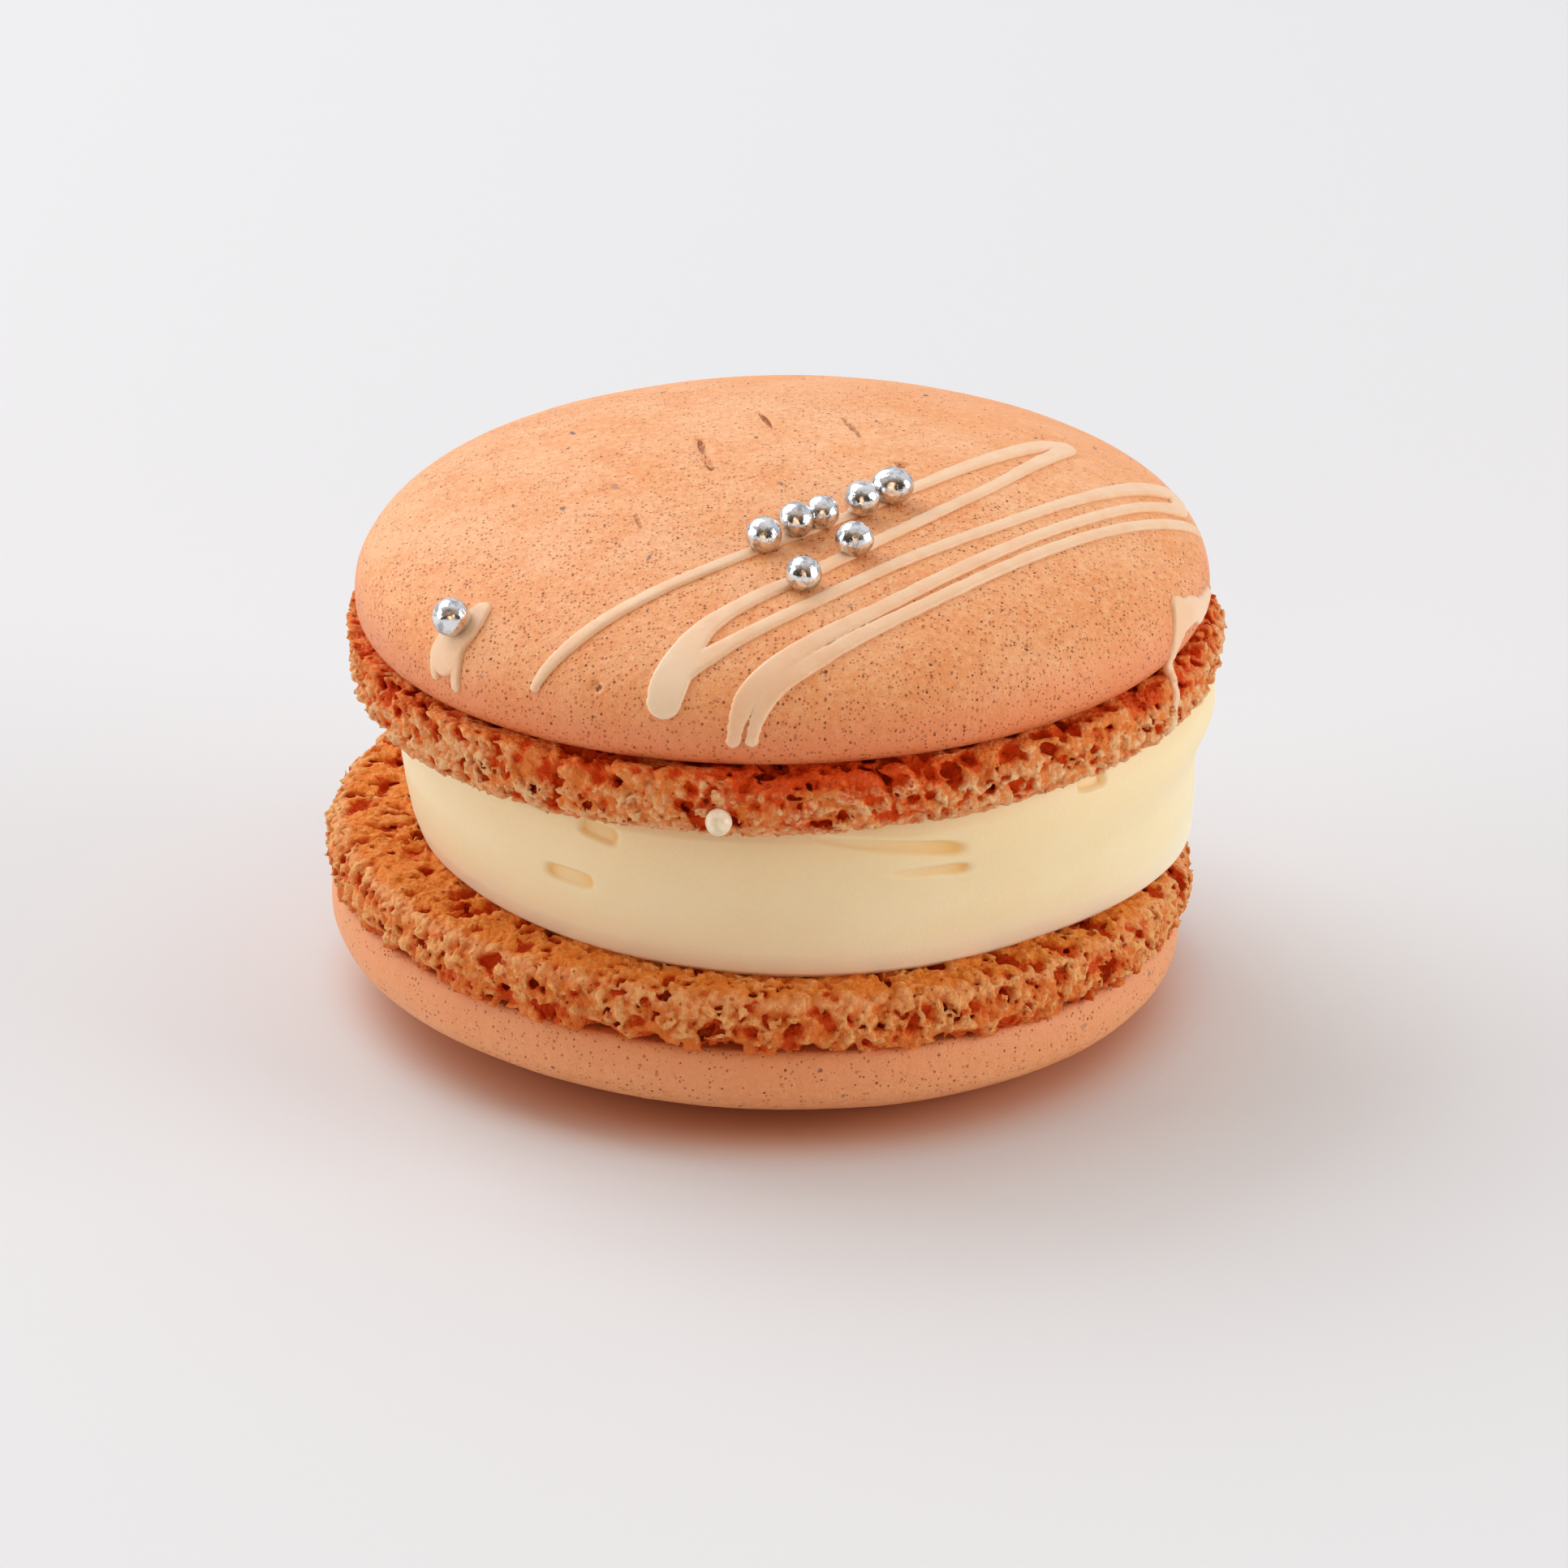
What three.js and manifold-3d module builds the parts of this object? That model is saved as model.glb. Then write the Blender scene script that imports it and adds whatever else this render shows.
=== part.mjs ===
// A french macaron: two baked almond shells with a thick layer of cream between them.
// Each shell has a smooth cap and a craggy foot. White chocolate is drizzled over the upper
// shell, with eight silver dragees and one sugar pearl stuck to it.
// Millimetres, +Z up. The origin is under the middle of the macaron, where it rests.
import * as THREE from "three";
import { mergeVertices } from "three/addons/utils/BufferGeometryUtils.js";
import Module from "manifold-3d";

const degree = Math.PI / 180;
const gap = 0.3;
const aroundShell = 92;
const aroundFilling = 64;

// A shell is described in its own frame: the cap rises from z = 0 and the foot hangs below.
const upper = {
  place: new THREE.Vector3(0.45, 0.3, 27.1),
  tilt: -1.6 * degree,
  capRadius: 28.6,
  capHeight: 11.1,
  rimHeight: 1.7,
  domePower: 2.42,
  curl: 1.8,
  footRadius: 29.4,
  footHeight: 4.55,
  footShift: 0.4,
  footLean: 0.8 * degree,
  seed: 3,
};
const lower = {
  place: new THREE.Vector3(-0.85, 0.3, 7.3),
  tilt: 1.9 * degree,
  capRadius: 29,
  capHeight: 8.5,
  rimHeight: 1.8,
  domePower: 2.55,
  curl: 0.8,
  footRadius: 29.5,
  footHeight: 4.2,
  footShift: 0.1,
  footLean: 0,
  seed: 11,
};

// How far the foot's outline stands from its radius, and at what share of its height.
const footOutline = [
  [-0.6, 0.04],
  [-0.1, 0.16],
  [0, 0.32],
  [0, 0.5],
  [-0.1, 0.68],
  [-0.45, 0.84],
  [-1.3, 0.97],
  [-2.8, 1],
  [-5.5, 0.96],
  [-9.5, 0.95],
];
const faceShare = 0.95;
const lumpSize = 2.7;
const pitDepth = 1.1;
const lumpHeight = 0.25;
const craggyBand = 9;

// The filling's side, from its lower edge to its upper one: share of the thickness, how far
// that level is drawn in from the full radius, and how far it is pushed towards +X.
const filling = {
  centre: new THREE.Vector2(2.05, 0.3),
  radius: 27.1,
  outline: [
    [0, 0.7, 0.8],
    [0.04, 0.2, 0.7],
    [0.15, 0.05, 0.5],
    [0.32, 0, 0.25],
    [0.5, 0, 0],
    [0.7, 0, 0],
    [0.88, 0.1, 0],
    [1, 0.5, 0],
  ],
  tongue: { angle: 2 * degree, spread: 0.4, level: 0.72, reach: 0.25, proud: 0.75 },
  // Where the lower edge stands back from the rim: how far, and how it fades upwards.
  recess: { angle: -46 * degree, spread: 0.72, reach: 0.8, power: 1.3, deep: 3.4 },
};
// Air holes in the cream's side: angle round the filling, height, length and height of the mouth.
const airHoles = [
  { angle: -119.1, z: 20.6, long: 3, high: 1 },
  { angle: -123.8, z: 16.8, long: 3.8, high: 0.9 },
  { angle: -76.5, z: 21, long: 10, high: 0.8 },
  { angle: -71.5, z: 18.9, long: 6, high: 0.7 },
  { angle: -45.2, z: 22.6, long: 2.5, high: 0.7 },
];
const airHoleDepth = 0.5;

// The drizzle's passes over the cap, seen from above: x, y and half the strand's width.
const drizzle = {
  thickness: 0.42,
  step: 3.2,
  sides: 5,
  passes: [
    [
      [-15.5, -23.5, 0.35],
      [-13, -22.2, 0.5],
      [-8.1, -19.3, 0.52],
      [-1.9, -15.5, 0.48],
      [4.2, -10.9, 0.42],
      [9.3, -5.6, 0.5],
      [14.2, 0.4, 0.62],
      [17.8, 4.4, 0.8],
      [19.9, 5.7, 0.85],
    ],
    [
      [20.1, 5.3, 0.85],
      [18.3, 2.3, 0.6],
      [14, -4.8, 0.5],
      [8.8, -11.3, 0.5],
      [2.9, -17.3, 0.55],
      [-1.4, -20.5, 0.6],
      [-4.2, -22.7, 0.75],
      [-5.7, -24.6, 1.05],
      [-6.7, -26.2, 1.25],
      [-7.1, -27, 1.15],
    ],
    [
      [-6.8, -26.3, 0.9],
      [-3, -24.4, 0.6],
      [2.7, -20.7, 0.52],
      [8.7, -15.5, 0.5],
      [14.9, -9.7, 0.5],
      [20.2, -3.5, 0.55],
      [24.2, 1.7, 0.65],
      [26, 4, 0.75],
    ],
    [
      [26.1, 3.9, 0.7],
      [26.4, 1.7, 0.55],
      [24.2, -1.6, 0.5],
      [20.1, -6.9, 0.5],
      [13.8, -14.1, 0.52],
      [7.2, -20.7, 0.58],
      [1.8, -24.8, 0.75],
      [-1.3, -27.1, 0.8],
      [-2.4, -28.2, 0.6],
      [-2.8, -28.55, 0.42],
    ],
    [
      [-1.6, -28.55, 0.4],
      [-1.2, -28.3, 0.5],
      [0.2, -27.1, 0.65],
      [4.2, -24.5, 0.6],
      [10.2, -19.7, 0.52],
      [16.4, -13.4, 0.5],
      [21.1, -8.1, 0.48],
      [24.4, -4.2, 0.5],
      [26.5, -1.4, 0.5],
      [27.9, 1, 0.5],
    ],
    [
      [-19.1, -16.9, 0.7],
      [-20.1, -17.7, 1.1],
      [-21.4, -18.3, 1.2],
    ],
    [
      [28.3, -4.4, 0.5],
      [27.8, -6.6, 0.8],
      [27.1, -8.7, 1],
      [26.5, -10.3, 1],
    ],
  ],
};
// Drips run down the rim: angle round the shell in degrees, height and half width.
const drips = [
  [
    [-141.5, 5.6, 0.5],
    [-141.9, 4, 0.42],
    [-140.9, 2.6, 0.36],
  ],
  [
    [-138.3, 5.4, 0.5],
    [-137.2, 3.9, 0.42],
    [-136.6, 2.4, 0.36],
  ],
  [
    [-20.5, 3.4, 1.1],
    [-22.5, 2.7, 1],
    [-24.4, 1.8, 0.7],
    [-26, 0.6, 0.45],
    [-27.8, -0.8, 0.36],
    [-28.7, -2.2, 0.4],
    [-28.5, -4, 0.4],
  ],
];

// Silver dragees on the cap: the middle of each seen from above, its radius and how oval it is.
const dragees = [
  { x: -0.8, y: -15, radius: 1.2, oval: 1 },
  { x: 1.3, y: -13.1, radius: 1.17, oval: 1 },
  { x: 3, y: -12, radius: 1.12, oval: 1 },
  { x: 5.6, y: -10.1, radius: 1.19, oval: 1 },
  { x: 7.6, y: -8.1, radius: 1.25, oval: 1.15 },
  { x: 5.1, y: -15.3, radius: 1.17, oval: 1.1 },
  { x: 1.8, y: -19.4, radius: 1.19, oval: 1 },
  { x: -21.1, y: -17.6, radius: 1.27, oval: 1 },
];
const drageeSink = 0.12;
const pearl = { angle: -98, z: -3, radius: 0.88 };

const wasm = await Module();
wasm.setup();

// A closed geometry as a solid for joining and cutting.
function solidOf(geometry) {
  const bare = geometry.clone().deleteAttribute("normal").deleteAttribute("uv");
  const merged = mergeVertices(bare, 1e-3);
  return new wasm.Manifold(
    new wasm.Mesh({
      numProp: 3,
      vertProperties: new Float32Array(merged.attributes.position.array),
      triVerts: new Uint32Array(merged.index.array),
    }),
  );
}

function geometryOf(solid) {
  const mesh = solid.getMesh();
  const geometry = new THREE.BufferGeometry();
  geometry.setAttribute("position", new THREE.BufferAttribute(mesh.vertProperties, 3));
  geometry.setIndex(new THREE.BufferAttribute(mesh.triVerts, 1));
  geometry.computeVertexNormals();
  return geometry;
}

// A repeatable random number from 0 to 1 for a cell of a grid.
function cellValue(x, y, z, seed) {
  const wave = Math.sin(x * 127.1 + y * 311.7 + z * 74.7 + seed * 53.3) * 43758.5453;
  return wave - Math.floor(wave);
}

// Smooth noise from 0 to 1 that changes over about one unit.
function noise(point, seed) {
  const base = point.clone().floor();
  const share = point.clone().sub(base);
  const ease = share.toArray().map((s) => s * s * (3 - 2 * s));
  let sum = 0;
  for (let corner = 0; corner < 8; corner++) {
    const step = [corner & 1, (corner >> 1) & 1, corner >> 2];
    const weights = step.map((up, axis) => (up ? ease[axis] : 1 - ease[axis]));
    const value = cellValue(base.x + step[0], base.y + step[1], base.z + step[2], seed);
    sum += weights[0] * weights[1] * weights[2] * value;
  }
  return sum;
}

function moveVertices(geometry, move) {
  const position = geometry.attributes.position;
  const point = new THREE.Vector3();
  for (let i = 0; i < position.count; i++) {
    point.fromBufferAttribute(position, i);
    move(point);
    position.setXYZ(i, point.x, point.y, point.z);
  }
  return geometry;
}

// Height of the cap over a point, with the whole cap grown by lift.
function capHeightAt(shell, x, y, lift) {
  const share = Math.min(Math.hypot(x, y) / (shell.capRadius + lift), 0.9995);
  const rise = Math.pow(1 - share * share, 1 / shell.domePower);
  return shell.rimHeight + (shell.capHeight + lift - shell.rimHeight) * rise;
}

function shellProfile(shell) {
  const profile = [];
  const capSteps = 8;
  for (let i = 0; i <= capSteps; i++) {
    const share = i === capSteps ? 0 : Math.cos((i / capSteps) * Math.PI * 0.5);
    const radius = shell.capRadius * Math.sqrt(1 - Math.pow(share, shell.domePower));
    const z = shell.rimHeight + (shell.capHeight - shell.rimHeight) * share;
    profile.push(new THREE.Vector2(radius, z));
  }
  for (const turn of [0.5, 1]) {
    const angle = (turn * Math.PI) / 2;
    const inset = shell.curl * (1 - Math.cos(angle));
    profile.push(
      new THREE.Vector2(shell.capRadius - inset, shell.rimHeight * (1 - Math.sin(angle))),
    );
  }
  for (const [offset, share] of footOutline) {
    profile.push(new THREE.Vector2(shell.footRadius + offset, -shell.footHeight * share));
  }
  profile.push(new THREE.Vector2(0, -shell.footHeight * faceShare));
  return profile.reverse();
}

// Pits and lumps: each vertex of the foot moves along the line from the ring's core to it.
function craggyMove(shell) {
  const coreRadius = shell.footRadius - 3;
  const away = new THREE.Vector3();
  return (point) => {
    if (point.z > -0.02) return;
    const radius = Math.hypot(point.x, point.y);
    const inside = radius < shell.footRadius - craggyBand;
    const under = radius < coreRadius + 1 && point.z < -0.9 * shell.footHeight;
    const coarse = noise(point.clone().divideScalar(lumpSize), shell.seed);
    const fine = noise(point.clone().divideScalar(lumpSize * 0.5), shell.seed + 1);
    const height = (coarse * 0.65 + fine * 0.35 - 0.5) * 2.4;
    const push = Math.max(height * pitDepth, -pitDepth);
    const core = Math.min(radius, coreRadius) / Math.max(radius, 1e-6);
    away.set(point.x * (1 - core), point.y * (1 - core), point.z + shell.footHeight / 2);
    away.normalize();
    if (!inside) point.addScaledVector(away, under ? -Math.abs(push) : Math.min(push, lumpHeight));
    const deep = -point.z / shell.footHeight;
    point.z += deep * (point.x * Math.tan(shell.footLean));
    point.x += Math.min(deep * 4, 1) * shell.footShift;
  };
}

function shellSolid(shell) {
  const lathe = new THREE.LatheGeometry(shellProfile(shell), aroundShell);
  lathe.rotateX(Math.PI / 2);
  return solidOf(moveVertices(lathe, craggyMove(shell)));
}

// A bead along a line of points. Each has a direction away from what it lies on.
function bead(points, outwards, widths, thickness, sides) {
  const vertices = [];
  const faces = [];
  const last = points.length - 1;
  points.forEach((point, i) => {
    const ahead = points[Math.min(i + 1, last)].clone();
    const along = ahead.sub(points[Math.max(i - 1, 0)]).normalize();
    const side = new THREE.Vector3().crossVectors(along, outwards[i]).normalize();
    for (let k = 0; k < sides; k++) {
      const angle = (k / sides) * Math.PI * 2;
      const corner = point.clone().addScaledVector(side, widths[i] * Math.cos(angle));
      corner.addScaledVector(outwards[i], thickness * Math.sin(angle));
      vertices.push(...corner.toArray());
    }
  });
  for (let i = 0; i < last; i++) {
    for (let k = 0; k < sides; k++) {
      const [a, b] = [i * sides + k, i * sides + ((k + 1) % sides)];
      faces.push(a, a + sides, b, b, a + sides, b + sides);
    }
  }
  const tip = last * sides;
  for (let k = 1; k < sides - 1; k++) {
    faces.push(0, k, k + 1, tip, tip + k + 1, tip + k);
  }
  const geometry = new THREE.BufferGeometry();
  geometry.setAttribute("position", new THREE.Float32BufferAttribute(vertices, 3));
  geometry.setIndex(faces);
  return solidOf(geometry);
}

function onCap(shell, x, y) {
  return new THREE.Vector3(x, y, capHeightAt(shell, x, y, 0));
}

// Straight out from the cap, found from the slope of its surface.
function outOfCap(shell, x, y) {
  const reach = 0.05;
  const slopeX = capHeightAt(shell, x + reach, y, 0) - capHeightAt(shell, x - reach, y, 0);
  const slopeY = capHeightAt(shell, x, y + reach, 0) - capHeightAt(shell, x, y - reach, 0);
  return new THREE.Vector3(-slopeX, -slopeY, 2 * reach).normalize();
}

function drizzlePass(shell, pass) {
  const route = new THREE.CatmullRomCurve3(pass.map(([x, y, w]) => new THREE.Vector3(x, y, w)));
  const steps = Math.max(3, Math.round(route.getLength() / drizzle.step));
  const spots = route.getSpacedPoints(steps);
  return bead(
    spots.map((spot) => onCap(shell, spot.x, spot.y)),
    spots.map((spot) => outOfCap(shell, spot.x, spot.y)),
    spots.map((spot) => spot.z),
    drizzle.thickness,
    drizzle.sides,
  );
}

// The radius of the rim or foot at a height, for what runs down over it.
function sideRadius(shell, z) {
  if (z > shell.rimHeight) {
    const share = (z - shell.rimHeight) / (shell.capHeight - shell.rimHeight);
    return shell.capRadius * Math.sqrt(1 - Math.pow(share, shell.domePower));
  }
  return z > 0 ? shell.capRadius : shell.footRadius;
}

function drip(shell, route) {
  const points = [];
  const outwards = [];
  for (const [angle, z] of route) {
    const out = new THREE.Vector3(Math.cos(angle * degree), Math.sin(angle * degree), 0);
    points.push(out.clone().multiplyScalar(sideRadius(shell, z)).setZ(z));
    outwards.push(out);
  }
  const widths = route.map(([, , wide]) => wide);
  return bead(points, outwards, widths, drizzle.thickness, drizzle.sides);
}

function ball(x, y, z, radius, oval) {
  const sphere = new THREE.SphereGeometry(radius, 8, 5);
  sphere.scale(oval, 1, 1).rotateZ(Math.PI / 4).translate(x, y, z);
  return solidOf(sphere);
}

function toppings(shell) {
  const beads = drizzle.passes.map((pass) => drizzlePass(shell, pass));
  const runs = drips.map((route) => drip(shell, route));
  const silver = dragees.map(({ x, y, radius, oval }) =>
    ball(x, y, capHeightAt(shell, x, y, radius - drageeSink), radius, oval),
  );
  const reach = shell.footRadius + pearl.radius * 0.4;
  const pearlX = reach * Math.cos(pearl.angle * degree) + shell.footShift;
  const pearlY = reach * Math.sin(pearl.angle * degree);
  return [...beads, ...runs, ...silver, ball(pearlX, pearlY, pearl.z, pearl.radius, 1)];
}

function shellMesh(name, shell, colour) {
  const material = new THREE.MeshStandardMaterial({ color: colour, roughness: 0.75, metalness: 0 });
  const mesh = new THREE.Mesh(undefined, material);
  mesh.name = name;
  mesh.position.copy(shell.place);
  return mesh;
}

function upperShell() {
  const mesh = shellMesh("shell_top", upper, "#f0a878");
  mesh.rotation.y = upper.tilt;
  const whole = wasm.Manifold.union([shellSolid(upper), ...toppings(upper)]);
  mesh.geometry = geometryOf(whole);
  return mesh;
}

// The lower shell is turned over, and its cap is pressed flat where it stands.
function lowerShell() {
  const mesh = shellMesh("shell_bottom", lower, "#e09058");
  mesh.rotation.set(Math.PI, -lower.tilt, 0, "XYZ");
  mesh.updateMatrixWorld();
  const floor = new THREE.BoxGeometry(100, 100, 20).translate(0, 0, -10);
  floor.applyMatrix4(mesh.matrixWorld.clone().invert());
  mesh.geometry = geometryOf(shellSolid(lower).subtract(solidOf(floor)));
  return mesh;
}

function lowerFaceAt(x) {
  const slope = Math.tan(lower.tilt);
  return lower.place.z + lower.footHeight * faceShare - (x - lower.place.x) * slope;
}

function upperFaceAt(x) {
  const slope = Math.tan(upper.tilt - upper.footLean);
  return upper.place.z - upper.footHeight - (x - upper.place.x) * slope;
}

// The cream fills the wedge between the two faces, and bulges a little further at +X.
function fillingMesh() {
  const rows = filling.outline.map(([level]) => new THREE.Vector2(1, level));
  const profile = [new THREE.Vector2(0, 0), ...rows, new THREE.Vector2(0, 1)];
  const lathe = new THREE.LatheGeometry(profile, aroundFilling).rotateX(Math.PI / 2);
  const { tongue, recess } = filling;
  moveVertices(lathe, (point) => {
    const level = point.z;
    const angle = Math.atan2(point.y, point.x);
    const nearest = filling.outline.find(([share]) => share >= level - 1e-6);
    const round = Math.exp(-(((angle - tongue.angle) / tongue.spread) ** 2));
    const high = Math.exp(-(((level - tongue.level) / tongue.reach) ** 2));
    const beside = Math.exp(-(((angle - recess.angle) / recess.spread) ** 2));
    const fade = Math.max(0, 1 - level / recess.reach) ** recess.power;
    const inset = nearest[1] + recess.deep * beside * fade;
    const radius = filling.radius - inset + tongue.proud * round * high;
    point.x = filling.centre.x + nearest[2] + point.x * radius;
    point.y = filling.centre.y + point.y * radius;
    const low = lowerFaceAt(point.x) + gap;
    point.z = low + level * (upperFaceAt(point.x) - gap - low);
  });
  let solid = solidOf(lathe);
  for (const { angle, z, long, high } of airHoles) {
    const mouth = new THREE.SphereGeometry(1, 10, 6);
    mouth.scale(airHoleDepth * 2, long / 2, high / 2);
    mouth.translate(filling.radius + airHoleDepth, 0, 0).rotateZ(angle * degree);
    mouth.translate(filling.centre.x, filling.centre.y, z);
    solid = solid.subtract(solidOf(mouth));
  }
  const material = new THREE.MeshStandardMaterial({ color: "#f0dcb8", roughness: 0.5 });
  const mesh = new THREE.Mesh(geometryOf(solid), material);
  mesh.name = "filling";
  return mesh;
}

const macaron = new THREE.Group();
macaron.add(lowerShell(), fillingMesh(), upperShell());

export default macaron;
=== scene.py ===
# %% [markdown]
# # A french macaron, from its solids to its looks
# Two baked almond shells hold a thick layer of cream. The upper shell has thin strands of white
# chocolate, eight silver dragees and one sugar pearl on it. The solids already say where each
# part is and how large it is. This lesson dresses them: it makes a fine surface for every part
# and gives it a finish. Shapes are worked out in millimetres, in the frame of the shell that
# they belong to, and are moved to their place in metres at the very end of their making.

# %% Load the solids
import math
from types import SimpleNamespace

import bpy
import numpy as np
from mathutils import Matrix, Vector, noise
from mathutils.bvhtree import BVHTree
from mathutils.kdtree import KDTree


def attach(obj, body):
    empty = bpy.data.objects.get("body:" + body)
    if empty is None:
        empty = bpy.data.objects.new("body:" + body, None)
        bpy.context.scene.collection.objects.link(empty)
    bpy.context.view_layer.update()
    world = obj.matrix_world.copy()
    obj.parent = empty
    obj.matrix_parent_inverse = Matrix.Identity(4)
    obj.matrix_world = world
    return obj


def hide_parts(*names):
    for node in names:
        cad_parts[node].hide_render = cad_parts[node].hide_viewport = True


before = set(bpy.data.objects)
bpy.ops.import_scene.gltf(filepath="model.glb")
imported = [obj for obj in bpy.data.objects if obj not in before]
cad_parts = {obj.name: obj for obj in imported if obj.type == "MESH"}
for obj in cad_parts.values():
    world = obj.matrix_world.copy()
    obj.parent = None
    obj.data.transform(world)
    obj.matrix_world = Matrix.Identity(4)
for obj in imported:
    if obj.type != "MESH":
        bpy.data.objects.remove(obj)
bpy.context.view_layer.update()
print("solids:", sorted(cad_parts))

# %% [markdown]
# ## The sizes that everything else follows
# A shell has its own frame: the smooth cap rises from z = 0 and the craggy foot hangs below it.
# The lower shell is the same thing turned over. The numbers here are those of the solids, so
# each new surface lies where its solid was.

# %% Sizes of the two shells and the cream
upper = SimpleNamespace(
    place=Vector((0.45, 0.3, 27.1)),
    tilt=math.radians(-1.6),
    turned_over=False,
    cap_radius=28.6,
    cap_height=11.1,
    rim_height=1.7,
    dome_power=2.42,
    curl=1.8,
    bulge=0.35,
    foot_radius=29.4,
    foot_height=4.55,
    foot_shift=0.4,
    foot_lean=math.radians(0.8),
)
lower = SimpleNamespace(
    place=Vector((-0.85, 0.3, 7.3)),
    tilt=math.radians(1.9),
    turned_over=True,
    cap_radius=29.0,
    cap_height=8.5,
    rim_height=1.8,
    dome_power=2.55,
    curl=0.8,
    bulge=0.0,
    foot_radius=29.5,
    foot_height=4.2,
    foot_shift=0.1,
    foot_lean=0.0,
)
cream = SimpleNamespace(centre=Vector((2.05, 0.3)), radius=27.1)
face_share = 0.95


def shell_matrix(shell):
    """From a shell's own millimetres to the part's metres."""
    turn = Matrix.Rotation(shell.tilt, 4, "Y")
    if shell.turned_over:
        turn = turn @ Matrix.Rotation(math.pi, 4, "X")
    return Matrix.Scale(0.001, 4) @ Matrix.Translation(shell.place) @ turn


def cap_height_at(shell, x, y, lift=0.0):
    """Height of the cap over a point, with the whole cap grown by lift."""
    share = np.minimum(np.hypot(x, y) / (shell.cap_radius + lift), 0.9995)
    rise = (1 - share * share) ** (1 / shell.dome_power)
    return shell.rim_height + (shell.cap_height + lift - shell.rim_height) * rise


print("upper cap is", 2 * upper.cap_radius, "mm wide and", upper.cap_height, "mm high")

# %% [markdown]
# ## The camera
# The macaron was seen from about 24 degrees above the table, through a long lens: the far rim is
# hardly smaller than the near one. The lens is worked out from the sharpness of that
# perspective, and the camera leans by one degree.

# %% Camera
sensor_width = 36.0
image_width = 1932
lens_in_pixels = 9000
camera_place = Vector((0.94, -455.44, 213.36)) * 0.001
looks_down = math.radians(23.6426)
leans = math.radians(0.94847)

view = bpy.data.cameras.new("camera")
view.sensor_width = sensor_width
view.lens = sensor_width * lens_in_pixels / image_width
view.clip_start = 0.01
view.clip_end = 10
camera = bpy.data.objects.new("camera", view)
bpy.context.scene.collection.objects.link(camera)
pitch = Matrix.Rotation(math.pi / 2 - looks_down, 4, "X")
camera.matrix_world = Matrix.Translation(camera_place) @ pitch @ Matrix.Rotation(leans, 4, "Z")
bpy.context.scene.camera = camera
print("lens:", round(view.lens, 1), "mm")

# %% [markdown]
# ## Writing nodes as plain expressions
# Both the materials and the craggy feet are node trees. A tree that is built socket by socket is
# long and hard to read, so one small class wraps a socket. Adding two wrapped sockets puts an
# Add node in the tree, and any other node comes from a single method of the graph.


# %% Sockets that can be added and multiplied
class Value:
    """A socket that carries a number, a colour or a vector."""

    def __init__(self, graph, socket):
        self.graph = graph
        self.socket = socket

    def math(self, operation, *others):
        inputs = dict(enumerate((self, *others)))
        return self.graph.add("ShaderNodeMath", inputs, operation=operation)

    def __add__(self, other):
        return self.math("ADD", other)

    __radd__ = __add__

    def __mul__(self, other):
        return self.math("MULTIPLY", other)

    __rmul__ = __mul__

    def __sub__(self, other):
        return self.math("SUBTRACT", other)

    def __rsub__(self, other):
        return self.graph.number(other).math("SUBTRACT", self)

    def __truediv__(self, other):
        return self.math("DIVIDE", other)

    def __pow__(self, power):
        return self.math("POWER", power)

    def low(self, other):
        return self.math("MINIMUM", other)

    def high(self, other):
        return self.math("MAXIMUM", other)


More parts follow.
